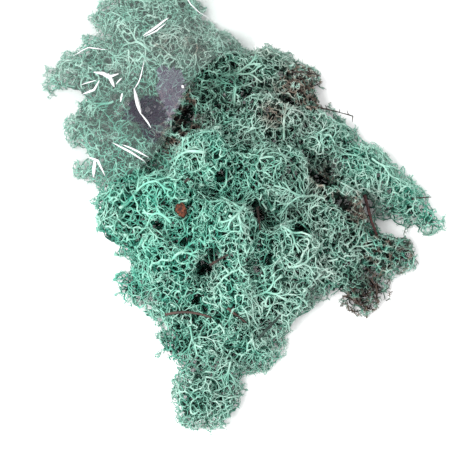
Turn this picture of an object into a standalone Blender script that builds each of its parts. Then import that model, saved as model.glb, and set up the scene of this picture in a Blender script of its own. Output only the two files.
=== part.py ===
"""A heap of dyed reindeer lichen, half tipped out of the clear film bag it was packed in.

The heap lies on a table: +Z is up, the bag's mouth faces +X and -Y, and the origin is under the middle
of the heap. Every tuft of lichen is one solid that reaches the tips of its branches. Neighbouring tufts
press on each other along flat faces, the bagged ones lie between two sheets of film, and the twigs and
bark that came with the lichen from the forest floor lie in grooves between the tufts.
"""

import math

import bmesh
import bpy
from mathutils import Matrix, Vector, noise

MM = 0.001
GAP = 0.3 * MM  # what touching pieces keep between them
WELD = 0.05 * MM  # slivers narrower than this are closed up
SAME = 0.01 * MM  # points nearer than this are one
SHARP_FROM = math.radians(40)  # a steeper edge between two faces is drawn as an edge

# A tuft is a lumpy ellipsoid, widest below its middle and cut flat by the table.
BELLY = 0.42  # height of the widest part, as a share of the tuft's height
LUMP = 0.10  # depth of the lumps, as a share of the radius
LUMP_PITCH = 1.7  # lumps across one radius
LUMP_SHIFT = 10 * MM  # a distance over which the lumps of two tufts are unlike
FACETS = (12, 6)  # of a tuft, round it and from pole to pole
SMALL_TUFT = 9.8 * MM  # below this half length a tuft has fewer facets
SMALL_FACETS = (9, 5)
TOP_RINGS = (25, 50, 75)  # degrees from the top, where a tuft holds up what lies on it
TOP_STEPS = 10  # points on each of those rings

# The film is far thinner than this: a solid needs a wall that can be measured.
FILM = 0.4 * MM
FILM_ROOM = 1.3 * MM  # from the outside of the film to the lichen in it
FILM_CLEARANCE = 1.4 * MM  # of the film above the round shape of each tuft
FILM_EDGE = 2.8 * MM  # height of the bag along its sides and its sealed end
DRAPE_SLOPE = 0.75  # how steeply the film falls away from what holds it up
FILM_ACROSS = 14  # facets from side to side
WALL_POWER = 6  # how square the bag's sides are
SIDE_SHARE = 0.2  # the part of the half width over which an inset narrows the bag
SEAL_SHARE = 0.25  # the part of the bag's length over which it falls to its sealed end
RIM_WAVE = 8 * MM  # how far the mouth's edge swings in and out
RIM_SHARE = 1 / 3  # the part of the bag's length over which that swing dies out
MOUTH_FLARE = 200 * MM  # how far the cutter for the bagged tufts runs past the mouth
MOUTH_WIDEN = 6.0  # and how much wider it is there
MOUTH_CLEAR = 2 * MM  # how far past the mouth it keeps the bag's own section

TWIG_GROOVE = 0.45 * MM  # clearance round a twig in the lichen
TWIG_STEPS = 3  # curve steps between two points of a twig's route
TAPER = 0.35  # how much thinner a twig's free end is
TWIG_SIDES = 1  # bevel resolution of a twig

# name: (x, y, half length, half width, turn in degrees, height, bagged), in millimetres.
TUFTS = {
    "tuft_bag_top": (-36, 101, 26, 18, 0, 25, True),
    "tuft_bag_crown": (-30, 79, 22, 17, 10, 31, True),
    "tuft_bag_shoulder": (-5, 81, 19, 13, -32, 25, True),
    "tuft_bag_left": (-63, 75, 21, 13, 28, 20, True),
    "tuft_bag_far_left": (-80.5, 71, 6.5, 6.5, 0, 11, True),
    "tuft_bag_belly": (-60, 48.5, 15.5, 16, 0, 22, True),
    "tuft_bag_middle": (-43, 55, 14, 15, 0, 27, True),
    "tuft_bag_pit": (-24, 52, 14.5, 16, 30, 24, True),
    "tuft_bag_corner": (-64.5, 28, 8, 6, 20, 11, True),
    "tuft_bag_front": (-45, 34, 16, 12, 10, 24, True),
    "tuft_crest": (19, 74, 17, 11.5, -8, 25, False),
    "tuft_dusky_rim": (33, 64, 13.5, 14, 0, 24, False),
    "tuft_hollow": (0, 60, 16.5, 15, 0, 25, False),
    "tuft_upper": (19, 50, 18.5, 16.5, 0, 34, False),
    "tuft_upper_right": (43.5, 40.5, 16, 15.5, 0, 28, False),
    "tuft_arm_root": (63, 26.5, 18, 14, -35, 26, False),
    "tuft_arm": (79, 15, 14, 11, -38, 20, False),
    "tuft_arm_tip": (93, 5, 9, 8.5, 0, 13, False),
    "tuft_antler": (-6.5, 30, 19, 17.5, 0, 38, False),
    "tuft_middle_right": (23.5, 22, 19, 18, 0, 41, False),
    "tuft_right": (49, 7.5, 17.5, 17.5, 0, 34, False),
    "tuft_left": (-45.5, 7, 16.5, 19, 8, 28, False),
    "tuft_middle_left": (-25, 10.5, 17.5, 17.5, 0, 38, False),
    "tuft_middle": (1, -5, 18.5, 18, 0, 42, False),
    "tuft_lower_right": (29, -13.5, 18.5, 17, 0, 38, False),
    "tuft_right_lobe": (70, -9, 18, 12, -18, 20, False),
    "tuft_right_front": (50, -18, 14, 13, 0, 26, False),
    "tuft_stray": (60.5, -30, 8.5, 8, 0, 11, False),
    "tuft_lower_left": (-26, -16, 17.5, 17, 0, 34, False),
    "tuft_left_lobe": (-42, -24.5, 9.5, 9, 20, 12, False),
    "tuft_front_left": (-20, -34.5, 15, 13, 0, 26, False),
    "tuft_front": (4, -32, 17.5, 16, 0, 34, False),
    "tuft_front_right": (26.5, -32, 14, 12.5, 20, 26, False),
    "tuft_teal_lump": (-20, -51, 10, 9.5, 0, 15, False),
    "tuft_waist": (-2, -54, 14, 13.5, 0, 25, False),
    "tuft_fan": (15, -53.5, 11, 12.5, 0, 18, False),
    "tuft_foot": (-8.5, -75, 17, 16.5, 0, 19, False),
    "tuft_sprig": (25.5, -44, 5.5, 5, 30, 9, False),
}

# The bag from its mouth to its sealed end: the film's left and right edge at each station.
BAG_STATIONS = [
    ((-58, 18.5), (13, 81.5)),
    ((-72, 21), (14, 90)),
    ((-78.5, 31), (12.5, 97)),
    ((-80, 45), (9, 104)),
    ((-83, 57), (4, 110)),
    ((-90, 65), (-1, 115)),
    ((-90, 79), (-7, 120)),
    ((-83, 91), (-12, 124)),
    ((-75, 103), (-20, 127)),
    ((-67, 112), (-28, 129)),
]

# name: (radius, route), in millimetres. A route gives x, y and the height above the lichen there.
TWIGS = {
    "twig_long": (0.6, [(35.5, 56, -0.5), (41.5, 55.3, 0.8), (48.5, 54.3, 0.8), (58.5, 52.2, 0.5)]),
    "twig_forked": (0.55, [(30, 71.5, -0.5), (34.6, 71.3, 0.6), (38.7, 71.1, 0.6), (43.5, 70.2, 0.8)]),
    "twig_arm": (0.55, [(84, 12.5, -0.5), (88.5, 14, 0.6), (94, 15, 0.5)]),
    "stem_red": (0.9, [(62, 13.5, -0.6), (63.2, 8.5, 0.8), (65.2, 1, 0.8), (68, -4, 0)]),
    "stem_dark": (0.9, [(11.3, -54, 0.2), (15.8, -48.9, 0.6), (20.3, -44.3, 0.6), (25.6, -39, -0.4)]),
    "stem_short": (0.8, [(-7, -19.5, -0.6), (-3, -17.5, 0.6), (1, -15.7, 0.6)]),
    "stem_upright": (0.8, [(13.8, 6.8, -0.5), (14.4, 1.3, 0.6), (15, -4, 0)]),
    "needle_front": (0.85, [(-27, -40.2, 0), (-20.6, -39.3, 1), (-11.8, -40, 1), (-6.4, -42, 0)]),
    "needle_middle": (0.85, [(0.5, -38.2, 0), (4.4, -41.2, 0.8), (8.9, -44.2, 0)]),
}

# name: (x, y, half length, half width, half thickness, turn), in millimetres and degrees.
FLAKES = {
    "flake_bark": (-20, 4.8, 3.4, 2.4, 0.55, 115),
    "flake_small": (-17.5, 18.5, 1.7, 1.3, 0.5, 30),
}
FLAKE_LIFT = 0.6 * MM  # of a flake's middle above the lichen under it
FLAKE_SIDES = 11
FLAKE_BEVEL = 0.86  # width of its upper face, as a share of its lower one
FLAKE_BREAK = 0.72  # where its end is broken off, as a share of its half length

# colour (linear), roughness
FINISHES = {
    "dyed_lichen": ((0.25, 0.55, 0.43), 0.9),
    "dusky_lichen": ((0.16, 0.20, 0.16), 0.9),
    "clear_film": ((0.75, 0.76, 0.80), 0.15),
    "twig_bark": ((0.10, 0.06, 0.045), 0.8),
    "orange_bark": ((0.32, 0.09, 0.03), 0.7),
}
DUSKY_TUFTS = ("tuft_dusky_rim", "tuft_stray", "tuft_right_lobe", "tuft_bag_pit")


def clear_scene():
    for old in list(bpy.data.objects):
        bpy.data.objects.remove(old)


def new_collection(name):
    made = bpy.data.collections.new(name)
    bpy.context.scene.collection.children.link(made)
    return made


def finish(name):
    """The Principled material of that name, made once."""
    found = bpy.data.materials.get(name)
    if found:
        return found
    colour, roughness = FINISHES[name]
    made = bpy.data.materials.new(name)
    made.use_nodes = True
    shader = made.node_tree.nodes["Principled BSDF"]
    shader.inputs["Base Color"].default_value = (*colour, 1)
    shader.inputs["Roughness"].default_value = roughness
    shader.inputs["Metallic"].default_value = 0
    return made


def new_object(name, data, collection, material=None):
    made = bpy.data.objects.new(name, data)
    collection.objects.link(made)
    if material:
        made.data.materials.append(finish(material))
    return made


def mesh_from(bm, name):
    mesh = bpy.data.meshes.new(name)
    bm.to_mesh(mesh)
    bm.free()
    return mesh


class Tuft:
    """The round shape that one tuft grows into, before its neighbours press on it."""

    def __init__(self, name, x, y, half_length, half_width, turn, height, bagged):
        self.name = name
        self.bagged = bagged
        self.centre = Vector((x, y, BELLY * height)) * MM
        self.radii = Vector((half_length, half_width, (1 - BELLY) * height)) * MM
        self.angle = math.radians(turn)
        self.turn = Matrix.Rotation(self.angle, 3, "Z")

    def own(self, direction):
        return self.turn.transposed() @ direction

    def reach(self, direction):
        """Distance from the centre to the surface in that direction."""
        d = self.own(direction)
        return 1 / math.sqrt(sum((d[k] / self.radii[k]) ** 2 for k in range(3)))

    def support(self, direction):
        """How far the whole tuft extends in that direction, its lumps included."""
        d = self.own(direction)
        return (1 + LUMP) * math.sqrt(sum((d[k] * self.radii[k]) ** 2 for k in range(3)))

    def place(self):
        """The matrix from the tuft's own space, with its centre at the origin, to the heap's."""
        return Matrix.Translation(self.centre) @ self.turn.to_4x4()

    def height_over(self, place):
        """Height of the tuft's round shape over a place on the table, or 0 beside it."""
        d = self.own(Vector((*place, 0)) - self.centre)
        inside = 1 - (d.x / self.radii.x) ** 2 - (d.y / self.radii.y) ** 2
        return self.centre.z + self.radii.z * math.sqrt(inside) if inside > 0 else 0.0

    def top_points(self):
        """Points spread over the upper half, which hold the film up."""
        to_heap = self.place() @ Matrix.Diagonal((*self.radii, 1))
        found = [to_heap @ Vector((0, 0, 1))]
        for ring in TOP_RINGS:
            for step in range(TOP_STEPS):
                around = 2 * math.pi * step / TOP_STEPS + math.radians(ring)
                down = math.radians(ring)
                flat = math.sin(down)
                unit = Vector((flat * math.cos(around), flat * math.sin(around), math.cos(down)))
                found.append(to_heap @ unit)
        return found


def lumpy_ball(tuft):
    """A closed ball with low lumps on it, as wide as the tuft and in the tuft's own space."""
    bm = bmesh.new()
    around, rows = SMALL_FACETS if max(tuft.radii) < SMALL_TUFT else FACETS
    bmesh.ops.create_uvsphere(bm, u_segments=around, v_segments=rows, radius=1)
    for vert in bm.verts:
        place = vert.co * LUMP_PITCH + tuft.centre / LUMP_SHIFT
        vert.co *= 1 + LUMP * noise.noise(place)
    bmesh.ops.transform(bm, matrix=Matrix.Diagonal((*tuft.radii, 1)), verts=bm.verts)
    return bm


def cut_flat(bm, point, outward):
    """Removes what lies beyond a plane and closes the cut with a flat face."""
    everything = bm.verts[:] + bm.edges[:] + bm.faces[:]
    bmesh.ops.bisect_plane(
        bm, geom=everything, plane_co=point, plane_no=outward, clear_outer=True, dist=SAME
    )
    open_edges = [edge for edge in bm.edges if edge.is_boundary]
    if open_edges:
        bmesh.ops.holes_fill(bm, edges=open_edges, sides=0)


def press_neighbours(bm, tuft, others):
    """Flattens a tuft where its neighbours press on it, halfway between their round shapes."""
    for other in others:
        if other is tuft:
            continue
        between = other.centre - tuft.centre
        distance = between.length
        outward = between / distance
        if tuft.support(outward) + other.support(outward) < distance:
            continue
        mine, theirs = tuft.reach(outward), other.reach(outward)
        along = mine + (distance - mine - theirs) / 2 - GAP / 2
        own = tuft.own(outward)
        cut_flat(bm, own * along, own)


def keep_largest_piece(bm):
    """Deletes the chips that a cut leaves, so that one body is left."""
    left, pieces = set(bm.verts), []
    while left:
        piece, todo = set(), [left.pop()]
        while todo:
            vert = todo.pop()
            piece.add(vert)
            near = {edge.other_vert(vert) for edge in vert.link_edges} & left
            left -= near
            todo += near
        pieces.append(piece)

    def spread(piece):
        return sum(max(v.co[k] for v in piece) - min(v.co[k] for v in piece) for k in range(3))

    largest = max(pieces, key=spread)
    chips = [vert for piece in pieces if piece is not largest for vert in piece]
    bmesh.ops.delete(bm, geom=chips, context="VERTS")


def rim_wave(across):
    """How far the mouth's edge lies inside (+) or outside (-) the line between its ends."""
    return RIM_WAVE * math.sin(math.pi * across)


def draped_height(place, holders):
    """Height of something stretched over the points that hold it up."""
    return max(p.z - DRAPE_SLOPE * (place - p.xy).length for p in holders)


def bag_ring(bm, left, right, inward, inset, heights, base):
    """One loop round the bag: over the top from the right edge to the left, and back underneath.

    An inset loop is lower everywhere, and narrower only near the bag's sides.
    """
    middle, half = (left + right) / 2, (right - left) / 2
    top, bottom = [], []
    for step in range(FILM_ACROSS + 1):
        across = math.cos(math.pi * step / FILM_ACROSS)
        place = middle + half * across + inward(across)
        height = heights(place, across) - inset
        narrower = inset * max(0.0, 1 - (1 - abs(across)) / SIDE_SHARE)
        place -= half.normalized() * math.copysign(narrower, across)
        top.append(bm.verts.new((*place, height)))
        bottom.append(bm.verts.new((*place, base)))
    return top + bottom[::-1]


def bag_rings(bm, holders, inset=0.0, base=0.0):
    """The loops of the bag from its mouth to its sealed end."""
    stations = [(Vector(a) * MM, Vector(b) * MM) for a, b in BAG_STATIONS]
    mouth_line = stations[0][1] - stations[0][0]
    into_bag = Vector((-mouth_line.y, mouth_line.x)).normalized()
    end = (stations[-1][0] + stations[-1][1] - stations[-2][0] - stations[-2][1]).normalized()
    stations[-1] = tuple(edge - end * inset for edge in stations[-1])
    rings = []
    for index, (left, right) in enumerate(stations):
        from_mouth = index / (len(stations) - 1)

        def inward(across, fade=max(0.0, 1 - from_mouth / RIM_SHARE)):
            return into_bag * rim_wave(across) * fade

        def heights(place, across, seal=min(1.0, (1 - from_mouth) / SEAL_SHARE)):
            wall = max(0.0, 1 - abs(across) ** WALL_POWER) ** 0.5
            lift = max(0.0, draped_height(place, holders) - FILM_EDGE)
            return FILM_EDGE + lift * wall * seal**0.5

        rings.append(bag_ring(bm, left, right, inward, inset, heights, base))
    return rings


def bridge(bm, ring, following):
    """A band of faces between two loops of the bag."""
    count = len(ring)
    for k in range(count):
        after = (k + 1) % count
        bm.faces.new((ring[k], ring[after], following[after], following[k]))


def bag_film(holders, collection):
    """The film: a tube that lies on the table, sealed at its far end and open at its mouth."""
    bm = bmesh.new()
    rings = bag_rings(bm, holders)
    for ring, following in zip(rings, rings[1:]):
        bridge(bm, ring, following)
    bm.faces.new(rings[-1])
    bmesh.ops.triangulate(bm, faces=bm.faces)
    bmesh.ops.recalc_face_normals(bm, faces=bm.faces)
    bag = new_object("bag_film", mesh_from(bm, "bag_film"), collection, "clear_film")
    wall = bag.modifiers.new("film thickness", "SOLIDIFY")
    wall.thickness = FILM
    wall.offset = -1
    wall.use_even_offset = False
    return bag


def bag_room(holders, collection):
    """A cutter: the space inside the film, which opens wide past the mouth."""
    bm = bmesh.new()
    floor = FILM + GAP + 0.1 * MM
    rings = bag_rings(bm, holders, inset=FILM_ROOM, base=floor)
    mouth = rings[0]
    half = len(mouth) // 2
    out_of_bag = (mouth[0].co.xy - mouth[half - 1].co.xy).normalized()
    out_of_bag = Vector((out_of_bag.y, -out_of_bag.x))
    middle = (mouth[0].co.xy + mouth[half - 1].co.xy) / 2
    outside = []
    for away, widen, lift, drop in (
        (MOUTH_FLARE, MOUTH_WIDEN, MOUTH_FLARE, MOUTH_FLARE),
        (1.5 * MOUTH_CLEAR, MOUTH_WIDEN, MOUTH_FLARE, MOUTH_FLARE),
        (MOUTH_CLEAR, 1.0, 0.0, 0.0),
    ):
        ring = []
        for k, vert in enumerate(mouth):
            place = middle + (vert.co.xy - middle) * widen + out_of_bag * away
            height = vert.co.z + lift if k < half else vert.co.z - drop
            ring.append(bm.verts.new((*place, height)))
        outside.append(ring)
    rings = outside + rings
    for ring, following in zip(rings, rings[1:]):
        bridge(bm, ring, following)
    bm.faces.new(rings[-1])
    bm.faces.new(rings[0][::-1])
    bmesh.ops.triangulate(bm, faces=bm.faces)
    bmesh.ops.recalc_face_normals(bm, faces=bm.faces)
    room = new_object("cutter_bag_room", mesh_from(bm, "cutter_bag_room"), collection)
    as_cutter(room)
    return room


def as_cutter(thing):
    thing.hide_render = True
    thing.display_type = "WIRE"


def resting_height(place, tufts):
    """Height at which something lies on the tufts, bridging the crevices between them."""
    holders = [point for tuft in tufts for point in tuft.top_points()]
    return max(draped_height(place, holders), *(tuft.height_over(place) for tuft in tufts))


def lay_twig(name, radius, route, tufts, collection):
    """A twig laid over the lichen along a smooth line, thinner towards its free end."""
    curve = bpy.data.curves.new(name, "CURVE")
    curve.dimensions = "3D"
    curve.bevel_depth = radius
    curve.bevel_resolution = TWIG_SIDES
    curve.resolution_u = TWIG_STEPS
    curve.use_fill_caps = True
    places = [Vector((x, y)) * MM for x, y, _lift in route]
    heights = [resting_height(place, tufts) + row[2] * MM for place, row in zip(places, route)]
    start = Vector((*places[0], heights[0]))
    line = curve.splines.new("NURBS")
    line.points.add(len(route) - 1)
    for k, (point, place, height) in enumerate(zip(line.points, places, heights)):
        point.co = (*(Vector((*place, height)) - start), 1)
        point.radius = 1 - TAPER * k / (len(route) - 1)
    line.order_u = 3
    line.use_endpoint_u = True
    twig = new_object(name, curve, collection, "twig_bark")
    twig.location = start
    return twig


def groove_cutter(twig, collection):
    """A closed mesh a little thicker and longer than the twig."""
    curve = twig.data.copy()
    curve.bevel_depth += TWIG_GROOVE
    points = curve.splines[0].points
    for end, inner in ((points[0], points[1]), (points[-1], points[-2])):
        outward = (end.co - inner.co).xyz.normalized()
        end.co = (*(end.co.xyz + outward * 2 * TWIG_GROOVE), 1)
    thick = new_object("thick_" + twig.name, curve, collection)
    bpy.context.view_layer.update()
    graph = bpy.context.evaluated_depsgraph_get()
    mesh = bpy.data.meshes.new_from_object(thick.evaluated_get(graph))
    bpy.data.objects.remove(thick)
    bm = bmesh.new()
    bm.from_mesh(mesh)
    bmesh.ops.remove_doubles(bm, verts=bm.verts, dist=SAME)
    bmesh.ops.recalc_face_normals(bm, faces=bm.faces)
    cutter = new_object("cutter_" + twig.name, mesh_from(bm, "cutter_" + twig.name), collection)
    cutter.location = twig.location
    as_cutter(cutter)
    return cutter


def lay_flake(name, facts, tufts, collection, clearance=0.0, material=None):
    """A scale of bark on the lichen: a thin oval slab with one end broken off."""
    x, y, *sizes, turn = facts
    half_length, half_width, half_thick = (size * MM + clearance for size in sizes)
    bm = bmesh.new()
    bmesh.ops.create_cone(
        bm, cap_ends=True, segments=FLAKE_SIDES, radius1=1, radius2=FLAKE_BEVEL, depth=2
    )
    shape = Matrix.Diagonal((half_length, half_width, half_thick, 1))
    bmesh.ops.transform(bm, matrix=shape, verts=bm.verts)
    cut_flat(bm, Vector((FLAKE_BREAK * half_length, 0, 0)), Vector((1, 0.2, 0)).normalized())
    bmesh.ops.recalc_face_normals(bm, faces=bm.faces)
    thing = new_object(name, mesh_from(bm, name), collection, material)
    place = Vector((x, y)) * MM
    thing.location = (*place, resting_height(place, tufts) + FLAKE_LIFT)
    thing.rotation_euler.z = math.radians(turn)
    return thing


def boxes_meet(a, b):
    """Whether two objects' boxes meet."""
    corners = [[thing.matrix_world @ Vector(corner) for corner in thing.bound_box] for thing in (a, b)]
    low = [[min(c[k] for c in box) for k in range(3)] for box in corners]
    high = [[max(c[k] for c in box) for k in range(3)] for box in corners]
    return all(low[0][k] < high[1][k] and low[1][k] < high[0][k] for k in range(3))


def cut_by(thing, cutters, operation="DIFFERENCE"):
    """Cuts a tuft by each cutter that meets it, and keeps its largest piece."""
    used = [cutter for cutter in cutters if operation == "INTERSECT" or boxes_meet(thing, cutter)]
    if not used:
        return
    for cutter in used:
        cut = thing.modifiers.new(cutter.name, "BOOLEAN")
        cut.operation = operation
        cut.object = cutter
    graph = bpy.context.evaluated_depsgraph_get()
    mesh = bpy.data.meshes.new_from_object(thing.evaluated_get(graph))
    thing.modifiers.clear()
    bm = bmesh.new()
    bm.from_mesh(mesh)
    bmesh.ops.remove_doubles(bm, verts=bm.verts, dist=SAME)
    keep_largest_piece(bm)
    bm.to_mesh(thing.data)
    bm.free()


def grow_tuft(tuft, tufts, collection):
    """A tuft where it lies, flat against its neighbours and against the table."""
    bm = lumpy_ball(tuft)
    press_neighbours(bm, tuft, tufts)
    cut_flat(bm, Vector((0, 0, -tuft.centre.z)), Vector((0, 0, -1)))
    bmesh.ops.remove_doubles(bm, verts=bm.verts, dist=WELD)
    bmesh.ops.dissolve_degenerate(bm, edges=bm.edges, dist=WELD)
    material = "dusky_lichen" if tuft.name in DUSKY_TUFTS else "dyed_lichen"
    thing = new_object(tuft.name, mesh_from(bm, tuft.name), collection, material)
    thing.location = tuft.centre
    thing.rotation_euler.z = tuft.angle
    return thing


def centre_on_origin(parts, others):
    """Hangs everything on an empty, which puts the origin under the middle of the whole heap."""
    graph = bpy.context.evaluated_depsgraph_get()
    corners = []
    for thing in parts:
        shown = thing.evaluated_get(graph)
        corners += [thing.matrix_world @ vert.co for vert in shown.to_mesh().vertices]
        shown.to_mesh_clear()
    heap = bpy.data.objects.new("heap", None)
    bpy.context.scene.collection.objects.link(heap)
    for k in range(2):
        heap.location[k] = -(min(c[k] for c in corners) + max(c[k] for c in corners)) / 2
    for thing in parts + others:
        thing.parent = heap


def build():
    clear_scene()
    parts = new_collection("lichen_heap")
    cutters = new_collection("cutters")
    tufts = [Tuft(name, *facts) for name, facts in TUFTS.items()]
    holders = [point for tuft in tufts if tuft.bagged for point in tuft.top_points()]
    for point in holders:
        point.z += FILM_CLEARANCE
    film = bag_film(holders, parts)
    room = bag_room(holders, cutters)
    grown = [grow_tuft(tuft, tufts, parts) for tuft in tufts]
    bpy.context.view_layer.update()
    for thing in grown:
        if boxes_meet(thing, film):
            cut_by(thing, [room], "INTERSECT")
    grooves = []
    for name, (radius, route) in TWIGS.items():
        twig = lay_twig(name, radius * MM, route, tufts, parts)
        grooves.append(groove_cutter(twig, cutters))
    for name, facts in FLAKES.items():
        lay_flake(name, facts, tufts, parts, material="orange_bark")
        seat = lay_flake("cutter_" + name, facts, tufts, cutters, clearance=GAP)
        as_cutter(seat)
        grooves.append(seat)
    bpy.context.view_layer.update()
    for thing in grown:
        cut_by(thing, grooves)
        thing.data.shade_smooth()
        thing.data.set_sharp_from_angle(angle=SHARP_FROM)
    centre_on_origin(list(parts.objects), list(cutters.objects))


build()
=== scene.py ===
"""The looks of a heap of dyed reindeer lichen that spills from a clear film bag.

All the tufts share one smooth surface with dips, crevices and notches, which is worked out from their CAD
solids. Under it each tuft is an open net of fine strands, of which many are broken and end in forked tips.
Forked stems like antlers lie on the net, and branches grow through it from the middle of each tuft.
"""

import math

import bmesh
import bpy
import numpy as np
from mathutils import Matrix, Vector, kdtree, noise
from mathutils.bvhtree import BVHTree


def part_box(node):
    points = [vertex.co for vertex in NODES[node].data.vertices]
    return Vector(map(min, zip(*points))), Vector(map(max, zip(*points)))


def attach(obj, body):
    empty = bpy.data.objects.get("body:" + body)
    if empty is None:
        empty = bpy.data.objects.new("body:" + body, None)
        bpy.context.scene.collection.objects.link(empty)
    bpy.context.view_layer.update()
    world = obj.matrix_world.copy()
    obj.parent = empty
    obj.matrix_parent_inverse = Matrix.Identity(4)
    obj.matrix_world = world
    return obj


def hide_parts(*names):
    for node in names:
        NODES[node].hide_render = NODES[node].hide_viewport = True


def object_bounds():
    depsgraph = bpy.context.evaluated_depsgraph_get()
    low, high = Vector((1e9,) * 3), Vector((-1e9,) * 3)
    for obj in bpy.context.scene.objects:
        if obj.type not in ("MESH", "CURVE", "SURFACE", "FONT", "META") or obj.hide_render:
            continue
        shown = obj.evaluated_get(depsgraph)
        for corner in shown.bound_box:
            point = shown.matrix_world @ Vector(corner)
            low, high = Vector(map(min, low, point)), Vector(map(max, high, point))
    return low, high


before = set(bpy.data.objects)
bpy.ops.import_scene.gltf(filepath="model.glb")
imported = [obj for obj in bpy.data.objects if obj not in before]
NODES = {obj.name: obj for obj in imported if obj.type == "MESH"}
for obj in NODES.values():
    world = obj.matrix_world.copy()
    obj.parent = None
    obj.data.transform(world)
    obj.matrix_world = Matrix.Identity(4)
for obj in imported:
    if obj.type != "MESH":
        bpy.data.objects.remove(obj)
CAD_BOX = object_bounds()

MM = 0.001
TUFTS = sorted(name for name in NODES if name.startswith("tuft"))


# ---------------- meshes, objects and materials


def merged_copy(node, cuts=0):
    """A bmesh of a CAD node with its loose triangles merged, and its edges cut finer."""
    bm = bmesh.new()
    bm.from_mesh(NODES[node].data)
    bmesh.ops.remove_doubles(bm, verts=bm.verts, dist=0.01 * MM)
    if cuts:
        bmesh.ops.subdivide_edges(bm, edges=bm.edges, cuts=cuts, use_grid_fill=True)
    return bm


def new_object(name, data):
    """A new object, linked to the scene."""
    made = bpy.data.objects.new(name, data)
    bpy.context.scene.collection.objects.link(made)
    return made


def add_piece(name, mesh, node):
    """Puts a finished mesh in the scene in the place of a CAD node."""
    piece = new_object(name, mesh)
    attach(piece, "root")
    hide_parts(node)


def linear(hex_colour):
    """An sRGB hex colour as linear red, green, blue and alpha."""
    parts = [int(hex_colour[k : k + 2], 16) / 255 for k in (0, 2, 4)]
    return (*(c / 12.92 if c <= 0.04045 else ((c + 0.055) / 1.055) ** 2.4 for c in parts), 1)


def material(name, settings):
    """A new material, its node tree, and its Principled shader with these settings of its inputs."""
    made = bpy.data.materials.new(name)
    made.use_nodes = True
    shader = made.node_tree.nodes["Principled BSDF"]
    for key, value in settings.items():
        shader.inputs[key].default_value = value
    return made, made.node_tree, shader


def add_node(tree, kind, links=(), **settings):
    """A node with its settings and links: each link names an input and the socket that feeds it."""
    node = tree.nodes.new(kind)
    for key, value in settings.items():
        if key in node.inputs:
            node.inputs[key].default_value = value
        else:
            setattr(node, key, value)
    for socket, source in links:
        tree.links.new(source, node.inputs[socket])
    return node


# ---------------- camera, light and floor

VIEW_TARGET = Vector((-5.9, -18.6, 15)) * MM  # inside the heap
VIEW_ELEVATION = math.radians(80)
VIEW_DISTANCE = 620 * MM
VIEW_WIDTH = 203.4 * MM  # of what the camera sees at its target
VIEW_LIMITS = (0.02, 20)  # m, the nearest and the farthest that it sees
SENSOR = 36  # mm
SKY_STRENGTH = 1.2  # of the even white light from all sides
LAMP_PLACE = Vector((-0.55, -0.15, 0.85))  # m
LAMP_SIZE = 0.5  # m
LAMP_POWER = 11  # W
PAPER_WHITE = 0.92  # the share of the light that the paper sends back
FLOOR_REACH = 3  # m, from its middle to each side


def add_camera():
    data = bpy.data.cameras.new("camera")
    data.sensor_width = SENSOR
    data.lens = SENSOR * VIEW_DISTANCE / VIEW_WIDTH
    data.clip_start, data.clip_end = VIEW_LIMITS
    camera = new_object("camera", data)
    back = Vector((0, -math.cos(VIEW_ELEVATION), math.sin(VIEW_ELEVATION)))
    camera.location = VIEW_TARGET + back * VIEW_DISTANCE
    camera.rotation_euler = (-back).to_track_quat("-Z", "Y").to_euler()
    bpy.context.scene.camera = camera


def add_light():
    """An even white sky, and a large soft lamp above and to the left that faces the heap."""
    world = bpy.data.worlds.new("studio")
    world.use_nodes = True
    sky = world.node_tree.nodes["Background"]
    sky.inputs["Color"].default_value = (1, 1, 1, 1)
    sky.inputs["Strength"].default_value = SKY_STRENGTH
    bpy.context.scene.world = world
    data = bpy.data.lights.new("soft_box", "AREA")
    data.size = LAMP_SIZE
    data.energy = LAMP_POWER
    lamp = new_object("soft_box", data)
    lamp.location = LAMP_PLACE
    lamp.rotation_euler = (-LAMP_PLACE).to_track_quat("-Z", "Y").to_euler()
    bpy.context.scene.view_settings.view_transform = "Standard"


def add_floor():
    bm = bmesh.new()
    bmesh.ops.create_grid(bm, x_segments=1, y_segments=1, size=FLOOR_REACH)
    mesh = bpy.data.meshes.new("floor")
    bm.to_mesh(mesh)
    bm.free()
    # matt white backdrop paper: no gloss at all
    white = (PAPER_WHITE, PAPER_WHITE, PAPER_WHITE, 1)
    settings = {"Base Color": white, "Roughness": 1, "Specular IOR Level": 0}
    mesh.materials.append(material("white_backdrop_paper", settings)[0])
    new_object("floor", mesh)


# ---------------- the heap's surface

CELL = 1.0 * MM  # of the height maps
THINNEST = 4.2 * MM  # the lichen ends where the surface is lower than this
LOBES = 7 * MM  # by how much this height varies, which gives the outline its lobes
LOBE_WIDTH = 8 * MM
LOBE_MIDDLE = 0.35  # the noise at which it is THINNEST itself
STEM_GROUND = 1.5 * THINNEST  # the lowest surface on which a forked stem lies
EDGE = 9 * MM  # how far the maps reach past the CAD box
ROUNDING = 3.0 * MM  # how far the tufts' surfaces run into one another
CANOPY_ROUNDING = 5 * MM
STEEPEST = 2.5  # the steepest slope that counts in a depth, as rise over run
RELIEF = 4.5 * MM  # depth of the dips between the small heads of the lichen
HEAD_WIDTH = 13 * MM  # from one small head to the next
HEAD_GAIN, HEAD_LOSS = 1.35, 0.1  # stretch and lower the noise, so that the heads have flat tops
BUMPS = 1.5 * MM
BUMP_WIDTH = 5 * MM
FULL_RELIEF = 14 * MM  # where the heap is lower than this, its dips are shallower
LEAST_RELIEF = 0.15  # the share of them that is left at its edge
CANOPY_DEPTH = 14 * MM  # where the painted shade is darkest under the smooth canopy
NEAR_DEPTH = 7 * MM  # and under its own surface
# shares of the painted shade: by the canopy, under the own surface, and in crevices
CANOPY_SHADE, NEAR_SHADE, CREVICE_SHADE = 0.3, 0.7, 0.3
RAGGED_WIDTH = 5 * MM
RAGGED_LEAST, RAGGED_SWING = 0.6, 0.9  # how far crevices and notches reach, as a share of their size squared
CREVICE_DEPTH = 6 * MM
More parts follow.
